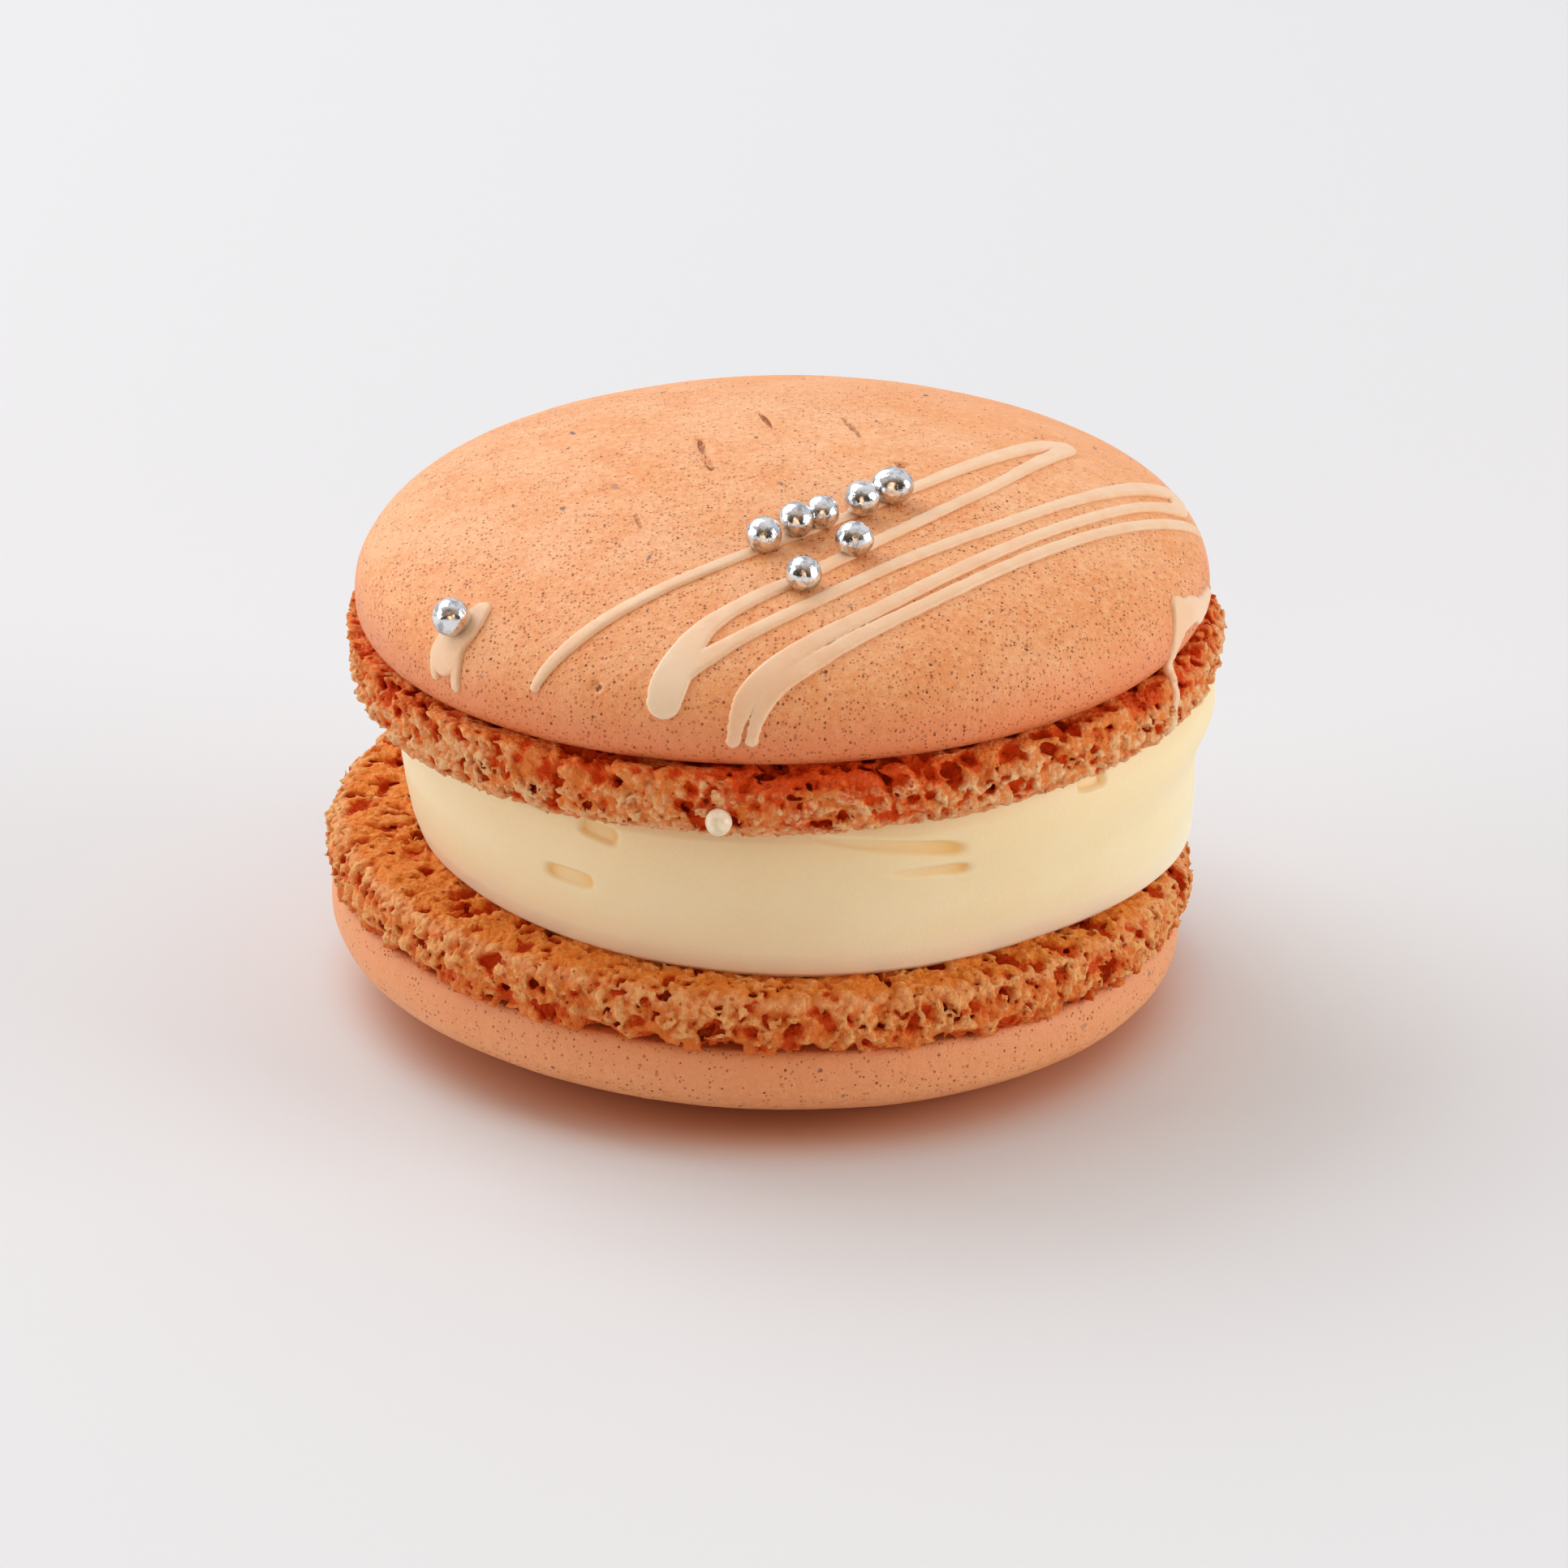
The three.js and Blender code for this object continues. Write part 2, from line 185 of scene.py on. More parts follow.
class Graph:
    """One node tree for a material or for geometry."""

    def __init__(self, tree):
        self.tree = tree
        tree.nodes.clear()

    def add(self, kind, inputs=None, output=0, **settings):
        """Adds a node. Settings come first, because they decide which sockets it shows."""
        node = self.tree.nodes.new(kind)
        for name, value in settings.items():
            setattr(node, name, value)
        for name, value in (inputs or {}).items():
            socket = self.find(node.inputs, name)
            if isinstance(value, Value):
                self.tree.links.new(value.socket, socket)
            else:
                socket.default_value = value
        return Value(self, self.find(node.outputs, output)) if len(node.outputs) else node

    def find(self, sockets, name):
        if isinstance(name, int):
            return sockets[name]
        return next(s for s in sockets if s.name == name and s.enabled)

    def number(self, value):
        return self.add("ShaderNodeMath", {0: float(value), 1: 0.0}, operation="ADD")

    def also(self, value, name):
        """Another output of the node that a value came from."""
        return Value(self, self.find(value.socket.node.outputs, name))

    def mix(self, factor, a, b):
        inputs = {"Factor": factor, "A": a, "B": b}
        return self.add("ShaderNodeMix", inputs, "Result", data_type="RGBA")

    def ramp(self, value, start, end, low=0.0, high=1.0, smooth=True):
        """Moves a value from the range start..end to low..high, and keeps it inside."""
        inputs = {0: value, 1: start, 2: end, 3: low, 4: high}
        kind = "SMOOTHSTEP" if smooth else "LINEAR"
        return self.add("ShaderNodeMapRange", inputs, interpolation_type=kind)

    def vector(self, operation, *inputs):
        return self.add("ShaderNodeVectorMath", dict(enumerate(inputs)), operation=operation)

    def split(self, vector):
        x = self.add("ShaderNodeSeparateXYZ", {0: vector})
        return x, self.also(x, "Y"), self.also(x, "Z")

    def join(self, x, y, z):
        return self.add("ShaderNodeCombineXYZ", {0: x, 1: y, 2: z})

    def noise(self, place, size, detail=2.0, rough=0.5, output="Fac"):
        """Cloudy noise whose blobs are about size long, from 0 to 1."""
        inputs = {"Vector": place, "Scale": 1 / size, "Detail": detail, "Roughness": rough}
        return self.add("ShaderNodeTexNoise", inputs, output)

    def cells(self, place, size, random=1.0):
        """Distance to the nearest of many scattered points, as a share of their spacing."""
        inputs = {"Vector": place, "Scale": 1 / size, "Randomness": random}
        return self.add("ShaderNodeTexVoronoi", inputs, "Distance")

    def chance(self, cells):
        """Three random numbers from 0 to 1, the same all over each cell."""
        return self.split(self.also(cells, "Color"))

    def stored(self, name):
        """A number that each vertex keeps, read by a material."""
        return self.add("ShaderNodeAttribute", output="Fac", attribute_name=name)

    def kept(self, name):
        """A number that each vertex keeps, read by a geometry tree."""
        inputs = {"Name": name}
        return self.add("GeometryNodeInputNamedAttribute", inputs, "Attribute", data_type="FLOAT")

    def measure(self, operation, *inputs):
        """One number from two vectors, such as their distance."""
        settings = dict(enumerate(inputs))
        return self.add("ShaderNodeVectorMath", settings, "Value", operation=operation)

    def surface(self, colour, rough, relief, bump, glow=None, **more):
        """The last nodes of a material. Bump is the depth and the strength of its relief. Glow
        is the share of light that goes in, how far each colour gets, and the scale of that."""
        depth, strength = bump
        normal = {"Height": relief, "Distance": depth, "Strength": strength}
        inputs = {"Base Color": colour, "Roughness": rough}
        inputs["Normal"] = self.add("ShaderNodeBump", normal)
        if glow:
            labels = ("Subsurface Weight", "Subsurface Radius", "Subsurface Scale")
            inputs.update(zip(labels, glow))
        inputs.update({name.replace("_", " "): value for name, value in more.items()})
        shader = self.add("ShaderNodeBsdfPrincipled", inputs)
        self.add("ShaderNodeOutputMaterial", {"Surface": shader})


def paint(red, green, blue):
    """A colour given as the eye sees it, from 0 to 255, in the numbers that light needs."""
    shares = [c / 255 for c in (red, green, blue)]
    linear = [s / 12.92 if s <= 0.04045 else ((s + 0.055) / 1.055) ** 2.4 for s in shares]
    return (*linear, 1.0)


def new_finish(name):
    """A new material, its graph, and where each point of the part is."""
    material = bpy.data.materials.new(name)
    material.use_nodes = True
    g = Graph(material.node_tree)
    return material, g, g.add("ShaderNodeTexCoord", output="Object")


print("half grey in light:", round(paint(128, 128, 128)[0], 3))

# %% [markdown]
# ## Making and finishing a mesh
# Round parts are skins over rings of points, closed by a point at each end. A finished piece has
# its place in its mesh, so the object itself stays at the origin.


# %% Helpers for meshes
def link_new(name, data):
    """A new object in the scene."""
    thing = bpy.data.objects.new(name, data)
    bpy.context.scene.collection.objects.link(thing)
    return thing


def new_piece(name, mesh, material):
    piece = link_new(name, mesh)
    mesh.materials.clear()
    mesh.materials.append(material)
    mesh.shade_smooth()
    return piece


def skin(name, rings, first_pole, last_pole):
    """A closed mesh over rings of points, from the first pole down to the last one."""
    count, around = rings.shape[:2]
    corners = np.concatenate([rings.reshape(-1, 3), [first_pole, last_pole]])
    here = np.arange(around)
    ahead = (here + 1) % around
    quads = []
    for row in range(count - 1):
        top, below = row * around, (row + 1) * around
        quads.append(np.stack([top + here, below + here, below + ahead, top + ahead], 1))
    first, last = count * around, count * around + 1
    bottom = (count - 1) * around
    fans = [(first, a, b) for a, b in zip(here.tolist(), ahead.tolist())]
    fans += [(last, bottom + b, bottom + a) for a, b in zip(here.tolist(), ahead.tolist())]
    mesh = bpy.data.meshes.new(name)
    mesh.from_pydata(corners.tolist(), [], np.concatenate(quads).tolist() + fans)
    return mesh


def store(mesh, name, values):
    """Keeps a number for each vertex, for the material to read."""
    attribute = mesh.attributes.new(name, "FLOAT", "POINT")
    attribute.data.foreach_set("value", np.asarray(values, np.float32).ravel())


def plain_mesh(carrier):
    """The mesh that comes out of an object's modifiers. The object itself goes."""
    ready = bpy.context.evaluated_depsgraph_get()
    mesh = bpy.data.meshes.new_from_object(
        carrier.evaluated_get(ready), preserve_all_data_layers=True, depsgraph=ready
    )
    bpy.data.objects.remove(carrier)
    return mesh


def search_tree(mesh):
    corners = [v.co for v in mesh.vertices]
    return BVHTree.FromPolygons(corners, [f.vertices for f in mesh.polygons])


def points_of(mesh):
    flat = np.zeros(len(mesh.vertices) * 3, np.float32)
    mesh.vertices.foreach_get("co", flat)
    return flat.reshape(-1, 3).astype(float)


def set_points(mesh, points):
    mesh.vertices.foreach_set("co", np.asarray(points, np.float32).ravel())
    mesh.update()


def cloud(points, size, seed):
    """Smooth noise from -1 to 1 at each point, with blobs about size long."""
    offset = Vector((seed * 7.3, seed * 3.1, seed * 5.7))
    flat = points.reshape(-1, 3) / size
    values = [noise.noise(Vector(p) + offset) for p in flat]
    return np.array(values).reshape(points.shape[:-1])


def report(piece):
    triangles = sum(len(face.vertices) - 2 for face in piece.data.polygons)
    print(piece.name, "has", triangles, "triangles")


# %% [markdown]
# ## The smooth caps
# A cap is dried almond paste: smooth, but not perfect. It swells a little here and there, and has
# a few slits and holes where the skin tore. These are real dents in a fine skin of rings. The
# smallest pores are finer than the rings, so the finish makes those. Under the dome the cap goes
# on as a plug, which fills the hole in the ring of the foot.

# %% Shape of the caps
cap_rings = 128
curl_rings = 10
around_cap = 540
plug_radius = 23.4
plug_shift = 1.0

# Torn slits in the upper cap: two ends, half the width, and the depth.
slits = [
    ((-5.3, 2.4), (-4.8, -1.0), 0.26, 0.38),
    ((-4.8, -1.0), (-4.3, -3.3), 0.3, 0.45),
    ((-1.3, 7.9), (-0.4, 4.0), 0.24, 0.3),
    ((4.3, 6.5), (5.6, 2.5), 0.22, 0.25),
    ((-9.3, -9.3), (-8.8, -11.5), 0.18, 0.22),
]
# Round pores: middle, radius and depth.
pores = [
    ((8.3, -2.0), 0.42, 0.6),
    ((-11.5, -25.2), 0.27, 0.4),
    ((9.9, -24.7), 0.16, 0.25),
    ((16.1, -21.6), 0.18, 0.25),
    ((3.2, -26.2), 0.16, 0.25),
]
lower_pores = [((-6.5, 25.3), 0.3, 0.25)]


def distance_to_line(x, y, start, end):
    """How far points are from a line, seen from above, and how near to the line's middle."""
    along = np.array(end) - np.array(start)
    share = ((x - start[0]) * along[0] + (y - start[1]) * along[1]) / (along @ along)
    share = np.clip(share, 0, 1)
    away = np.hypot(x - start[0] - share * along[0], y - start[1] - share * along[1])
    return away, np.sin(share * math.pi)


def cap_profile(shell):
    """Radius and height of each ring, from the top of the dome to the bottom of the plug."""
    rings = []
    for step in range(1, cap_rings + 1):
        share = max(math.cos(step / cap_rings * math.pi / 2), 0.0)
        radius = shell.cap_radius * math.sqrt(1 - share**shell.dome_power)
        rings.append((radius, shell.rim_height + (shell.cap_height - shell.rim_height) * share))
    for step in range(1, curl_rings + 1):
        turn = step / curl_rings * math.pi / 2
        radius = shell.cap_radius - shell.curl * (1 - math.cos(turn))
        rings.append((radius, shell.rim_height * (1 - math.sin(turn))))
    below = -shell.foot_height * face_share + 0.2
    rings += [(radius, 0.0) for radius in (26.0, 25.0, plug_radius + 0.4)]
    rings += [(plug_radius, height) for height in (-0.3, below / 2, below)]
    rings += [(radius, below) for radius in (18.0, 12.0, 6.0)]
    return rings


def cap_mesh(shell, name, seed, tears, holes):
    angles = np.arange(around_cap) / around_cap * 2 * math.pi
    profile = cap_profile(shell)
    rings = np.array(
        [[(r * math.cos(a), r * math.sin(a), z) for a in angles] for r, z in profile]
    )
    rings[:, :, 0] += shell.bulge * np.clip(rings[:, :, 0] / shell.cap_radius, 0, 1) ** 2
    plug = rings[:, :, 2] < -0.1
    rings[:, :, 0] += plug * plug_shift
    on_top = np.clip(rings[:, :, 2] / shell.rim_height, 0, 1)
    swell = cloud(rings, 13, seed) * 0.16 + cloud(rings, 5, seed + 1) * 0.05
    x, y = rings[:, :, 0], rings[:, :, 1]
    dent = np.zeros(x.shape)
    for start, end, wide, deep in tears:
        away, inward = distance_to_line(x, y, start, end)
        share = np.clip(1 - away / (wide * (0.25 + 0.75 * inward)), 0, 1)
        dent = np.maximum(dent, deep * share**0.7)
    for (px, py), radius, deep in holes:
        away = np.hypot(x - px, (y - py)) / radius
        dent = np.maximum(dent, deep * np.clip(1 - away**3, 0, 1))
        dent -= 0.05 * np.exp(-(((away - 1.4) / 0.3) ** 2))
    outwards = rings * [1, 1, 1.6] / np.linalg.norm(rings * [1, 1, 1.6], axis=2, keepdims=True)
    rings += outwards * (on_top * (swell - dent))[:, :, None]
    top = (0, 0, float(rings[0, :, 2].mean()))
    bottom = (plug_shift, 0, float(profile[-1][1]))
    height = np.append(rings[:, :, 2].ravel(), [shell.cap_height, bottom[2]])
    mesh = skin(name, rings, top, bottom)
    store(mesh, "height", height)
    mesh.transform(shell_matrix(shell))
    return mesh


upper_cap_mesh = cap_mesh(upper, "upper_cap", 2, slits, pores)
lower_cap_mesh = cap_mesh(lower, "lower_cap", 8, [], lower_pores)
pressed = points_of(lower_cap_mesh)
pressed[:, 2] = np.maximum(pressed[:, 2], 0)
set_points(lower_cap_mesh, pressed)
print("rings in a cap:", len(cap_profile(upper)))

# %% [markdown]
# ## The finish of the caps
# The skin is peach coloured and matt, with a soft mottle. It has countless pores about a tenth
# of a millimetre wide, and a few grey-blue specks of almond skin. Pores and specks are cells of
# a Voronoi texture: each cell has one random number, which decides whether it holds a dot.


# %% Finish of the caps
def torn_marks(g, place, shell, mesh, tears, holes):
    """Marks from 0 to 1 for slits and holes, and for the raised rims of the holes."""
    to_part = shell_matrix(shell)
    skin_tree = search_tree(mesh)

    def on_skin(x, y):
        above = to_part @ Vector((x, y, cap_height_at(shell, x, y)))
        return skin_tree.find_nearest(above)[0]

    waver = (g.noise(place, 0.0006, 2) - 0.5) * 0.00008
    mark = rim = g.number(0)
    for start, end, wide, deep in tears:
        first, last = on_skin(*start), on_skin(*end)
        along = last - first
        there = g.vector("SUBTRACT", place, first)
        share = g.measure("DOT_PRODUCT", there, along / along.length_squared)
        share = share.high(0).low(1)
        nearest = g.vector("MULTIPLY", tuple(along), g.join(share, share, share))
        away = g.measure("DISTANCE", there, nearest)
        lens = (share * (1 - share) * 4 + 0.12) * wide * 0.001
        mark = mark.high(g.ramp((away + waver) / lens, 1.0, 0.4) * (deep * 2.2))
    for spot, radius, _ in holes:
        away = g.measure("DISTANCE", place, on_skin(*spot))
        share = (away + waver) / (radius * 0.001)
        mark = mark.high(g.ramp(share, 1.0, 0.6))
        rim = rim.high(g.ramp((share - 1.3).math("ABSOLUTE"), 0.3, 0.1))
    return mark, rim


def cap_finish(name, shell, mesh, tears, holes, porous, peach, deep, pale, dark, shade):
    material, g, place = new_finish(name)
    tear, rim = torn_marks(g, place, shell, mesh, tears, holes)
    height = g.stored("height")
    x, y, z = g.split(place)
    front = g.ramp(y, 0.004, -0.024)

    mottle = g.noise(place, 0.006, 4, 0.6)
    grain = g.noise(place, 0.0005, 4, 0.65)
    peel = g.noise(place, 0.0011, 2, 0.5)
    colour = g.mix(g.ramp(mottle, 0.35, 0.68), peach, deep)
    colour = g.mix(g.ramp(grain, 0.45, 0.7, 0, 0.55), colour, pale)
    colour = g.mix(g.ramp(grain, 0.5, 0.3, 0, 0.5), colour, dark)
    freckles = g.noise(place, 0.00016, 2, 0.6) * g.ramp(front, 0, 1, 0.93, 1.0)
    colour = g.mix(g.ramp(freckles, 0.52, 0.68, 0, 0.5), colour, dark)
    # Painted shade: low on the front of the cap, which faces away from the light, the colour goes
    # towards the deeper peach.
    colour = g.mix(front * g.ramp(height, 11.0, 3.0) * 0.25, colour, deep)
    colour = g.mix(g.ramp(x * 0.5 + y, 0.006, 0.026, 0, 0.5), colour, deep)
    # Painted shade: near the rim the cap goes towards the shade colour.
    colour = g.mix(g.ramp(height, 5.5, 0.6, 0, 0.8), colour, shade)

    small = g.cells(place, 0.00027)
    size, rare, tone = g.chance(small)
    crowd = g.noise(place, 0.008, 3, 0.6) * 0.8 + front * 0.45
    crowd = g.ramp(crowd, 0.2, 0.62, 0.14, 1.0) * porous
    pore = g.ramp(small / (size * size * 0.3 + 0.17), 1.0, 0.5) * g.ramp(rare - crowd, 0.03, -0.03)
    inside = g.mix(g.ramp(tone, 0.72, 0.98), paint(210, 98, 34), paint(134, 64, 36))
    colour = g.mix(pore * g.ramp(tone, 0, 1, 0.5, 1.0), colour, inside)

    swirl = g.vector("MULTIPLY", g.noise(place, 0.004, 2, output="Color"), (0.002, 0.002, 0.0))
    streak = g.vector("ADD", g.vector("MULTIPLY", place, (1.0, 0.45, 1.0)), swirl)
    fleck = g.cells(streak, 0.0016)
    wide, seldom, grey = g.chance(fleck)
    speck = g.ramp(fleck / (wide * wide * 0.12 + 0.05), 1.0, 0.55) * g.ramp(seldom, 0.9, 0.88)
    colour = g.mix(speck * g.ramp(grey, 0, 1, 0.4, 0.9), colour, paint(112, 92, 98))
    colour = g.mix(rim * 0.6, colour, pale)
    colour = g.mix(tear * 0.9, colour, paint(152, 60, 26))

    relief = grain * 0.6 - freckles * 0.4 + peel * (front * 0.7 + 0.2)
    relief = relief - pore * 0.9 - speck * 0.1 - tear * 3
    rough = g.ramp(grain + mottle * 0.4, 0.4, 0.9, 0.4, 0.58)
    g.surface(colour, rough, relief, (0.00014, 0.9), (0.12, (1.0, 0.45, 0.25), 0.0015))
    return material


upper_cap_finish = cap_finish(
    "upper_cap_skin",
    upper,
    upper_cap_mesh,
    slits,
    pores,
    porous=1.0,
    peach=paint(250, 184, 129),
    deep=paint(243, 162, 97),
    pale=paint(255, 208, 159),
    dark=paint(230, 138, 80),
    # The shade colour is the painted shade low on the upper cap.
    shade=paint(230, 128, 76),
)
lower_cap_finish = cap_finish(
    "lower_cap_skin",
    lower,
    lower_cap_mesh,
    [],
    lower_pores,
    porous=0.45,
    peach=paint(250, 184, 132),
    deep=paint(244, 170, 114),
    pale=paint(255, 206, 162),
    dark=paint(228, 140, 88),
    # The shade colour is the painted shade low on the lower cap, near the crease.
    shade=paint(236, 156, 102),
)
upper_cap = new_piece("upper_cap", upper_cap_mesh, upper_cap_finish)
lower_cap = new_piece("lower_cap", lower_cap_mesh, lower_cap_finish)
for cap in (upper_cap, lower_cap):
    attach(cap, "root")
    report(cap)
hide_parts("shell_top")
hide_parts("shell_bottom")

# %% [markdown]
# ## The craggy feet
# In the oven the batter boils out below the cap and sets as a ring of sponge: lumps with deep,
# ragged caves between them. Such a surface folds back under itself, so moving the points of a
# smooth skin can't make it. Instead a field says how far every point in space is inside the
# sponge. Volume Cube samples the field and Volume to Mesh wraps a surface round what is solid.
# The field starts as a ring with round edges, gains lumps of noise and loses bubbles, which are
# Voronoi cells of random size. Each vertex keeps how deep it lies, for the colour.


# %% The tree that makes a foot
def new_tree(name, sizes):
    """A geometry tree that takes a mesh, some named sizes and a material, and gives a mesh."""
    tree = bpy.data.node_groups.new(name, "GeometryNodeTree")
    kinds = {"Geometry": "Geometry", **dict.fromkeys(sizes, "Float"), "Material": "Material"}
    named = {}
    for label, kind in kinds.items():
        socket = {"name": label, "socket_type": "NodeSocket" + kind}
        item = tree.interface.new_socket(in_out="INPUT", **socket)
        named[label] = item.identifier
        if label in sizes:
            item.default_value = sizes[label]
    tree.interface.new_socket(in_out="OUTPUT", name="Geometry", socket_type="NodeSocketGeometry")
    g = Graph(tree)
    return tree, named, g, g.add("NodeGroupInput", output="Geometry")


def end_tree(g, mesh, given):
    mesh = g.add("GeometryNodeRealizeInstances", {"Geometry": mesh})
    inputs = {"Geometry": mesh, "Material": g.also(given, "Material")}
    g.add("NodeGroupOutput", {"Geometry": g.add("GeometryNodeSetMaterial", inputs)})


def smooth_ring(g, x, y, z, radius, height):
    """How far a point is inside a ring with rounded edges, before it gets craggy."""
    middle = height * -0.5
    across = (x * x + y * y) ** 0.5
    up = z - middle
    upper_half = g.ramp(up, -0.05, 0.05, smooth=False)
    corner = g.ramp(upper_half, 0, 1, 1.9, 0.5, smooth=False)
    out = across - radius + corner
    tall = up.math("ABSOLUTE") - height * 0.5 + corner - upper_half * 0.3
    beyond = (out.high(0) * out.high(0) + tall.high(0) * tall.high(0)) ** 0.5
    return corner - beyond - out.high(tall).low(0)


first_sizes = ("Radius", "Height", "Voxel", "Seed")
foot_sizes = dict.fromkeys(first_sizes, 1.0)
foot_sizes |= {"Hole radius": 22.5, "Hole shift": 1.0, "Shift": 0.4, "Lean": 0.0}
foot_sizes |= {"Face pits": 0.5, "Undercut": 0.5, "Set back": 0.5}
# The field reaches this far past the ring, and a loose crumb has fewer corners than this.
spare, spare_below, spare_above = 0.8, 0.6, 0.7
fewest_corners = 20000.0


def foot_tree():
    tree, named, g, given = new_tree("craggy_foot", foot_sizes)
    radius, height, voxel, seed = (g.also(given, label) for label in first_sizes)

    position = g.add("GeometryNodeInputPosition")
    x, y, z = g.split(position)
    across = (x * x + y * y) ** 0.5
    inside = smooth_ring(g, x, y, z, radius, height)
    hole_x = x - g.also(given, "Hole shift")
    hole = (hole_x * hole_x + y * y) ** 0.5 - g.also(given, "Hole radius")

    moved = g.vector("ADD", position, g.join(seed * 31, seed * 17, seed * 5))
    twist = g.vector("SUBTRACT", g.noise(moved, 0.9, 3, 0.6, output="Color"), (0.5, 0.5, 0.5))
    ragged = g.vector("ADD", moved, g.vector("MULTIPLY", twist, (1.7, 1.7, 1.3)))

    level = z / height
    near_cap = g.ramp(level, -0.6, -0.15)
    skin_depth = g.ramp(inside, 2.3, 1.2)
    on_face = g.ramp(level, -0.75, -0.92)
    swell = (g.noise(moved, 3.5, 2) - 0.5) * 0.7
    lumps = (g.noise(moved, 0.85, 3, 0.65) - 0.53) * (2.1 - on_face * 0.9)
    crumbs = (g.noise(moved, 0.5, 1, 0.5) - 0.5) * 0.8
    crags = (lumps + crumbs) * g.ramp(inside, 2.6, 1.0) * g.ramp(level, 0.05, -0.3, 0.35, 1.0)
    surface = inside + swell + crags - g.ramp(level, -0.32, -0.04) * g.also(given, "Set back")

    caves = g.cells(g.vector("MULTIPLY", ragged, (0.9, 0.9, 1.15)), 1.8)
    size, kind, _ = g.chance(caves)
    is_cave = g.ramp(kind - near_cap * 0.35 + on_face * 0.1, 0.36, 0.32)
    cave = (caves - (size * 0.26 + 0.22) * is_cave * skin_depth) * 1.8
    bubbles = g.cells(ragged, 0.95)
    size, kind, _ = g.chance(bubbles)
    is_bubble = g.ramp(kind + on_face * 0.2, 0.66, 0.62)
    bubble = (bubbles - (size * 0.3 + 0.24) * is_bubble * skin_depth) * 0.95

    outward = across / radius
    drawn, _, _ = g.split(twist)
    wells_place = g.join(x / outward + drawn * 0.6, y / outward + seed * 7, across * 0.5)
    wells = g.cells(wells_place, 1.35)
    size, kind, _ = g.chance(wells)
    pitted = on_face * g.also(given, "Face pits")
    reach = (size * 0.26 + 0.22) * g.ramp(kind, 0.55, 0.51) * g.ramp(inside, 1.6, 0.4)
    reach = reach * g.ramp(outward, 0.99, 0.9, 0.6, 1.1)
    well = (wells - reach * pitted) * 1.35 + g.ramp(pitted, 0.02, 0.0, 0.0, 2.0)

    groove_band = g.ramp((level + 0.12).math("ABSOLUTE"), 0.2, 0.04)
    groove = groove_band * g.ramp(g.noise(moved, 2.6, 2), 0.42, 0.62) * g.also(given, "Undercut")
    hollow = cave.low(bubble).low(well)
    under_cap = g.ramp(outward, 0.94, 0.9, 0.0, 0.3) - z
    solid = (surface - groove * 1.6).low(hollow).low(under_cap).low(hole)
    in_hollow = g.ramp(surface - groove * 1.6 - hollow, -0.15, 0.35)

    low_corner = g.join(radius * -1 - spare, radius * -1 - spare, height * -1 - spare_below)
    high_corner = g.join(radius + spare, radius + spare, spare_above)
    wide = (radius * 2 + 2 * spare) / voxel
    volume = g.add(
        "GeometryNodeVolumeCube",
        {
            "Density": solid,
            "Background": -1.0,
            "Min": low_corner,
            "Max": high_corner,
            "Resolution X": wide,
            "Resolution Y": wide,
            "Resolution Z": (height + (spare_below + spare_above)) / voxel,
        },
    )
    mesh = g.add("GeometryNodeVolumeToMesh", {"Volume": volume, "Threshold": 0.0})
    island = g.add("GeometryNodeInputMeshIsland")
    whole = g.add(
        "GeometryNodeAccumulateField",
        {"Value": 1.0, "Group ID": island},
        "Total",
        data_type="FLOAT",
        domain="POINT",
    )
    crumb = g.add("FunctionNodeCompare", {"A": whole, "B": fewest_corners}, operation="LESS_THAN")
    inputs = {"Geometry": mesh, "Selection": crumb}
    mesh = g.add("GeometryNodeDeleteGeometry", inputs, domain="POINT")
    kept = {"pit": inside + swell, "hollow": in_hollow, "level": level, "outward": outward}
    for name, value in kept.items():
        inputs = {"Geometry": mesh, "Name": name, "Value": value}
        mesh = g.add("GeometryNodeStoreNamedAttribute", inputs, domain="POINT", data_type="FLOAT")
    lean = g.also(given, "Lean").math("TANGENT")
    deep = (level * -1).high(0)
    offset = g.join((deep * 4).low(1) * g.also(given, "Shift"), 0.0, deep * x * lean)
    mesh = g.add("GeometryNodeSetPosition", {"Geometry": mesh, "Offset": offset})
    end_tree(g, mesh, given)
    return tree, named


def made_by(tree, named, name, sizes, base=None):
    """Runs a tree on a new object and returns the plain mesh that comes out."""
    carrier = link_new(name, base or bpy.data.meshes.new(name))
    modifier = carrier.modifiers.new("make", "NODES")
    modifier.node_group = tree
    for label, value in sizes.items():
        modifier[named[label]] = value
    return plain_mesh(carrier)


craggy_foot, foot_inputs = foot_tree()
print("inputs of the foot's tree:", ", ".join(foot_inputs))
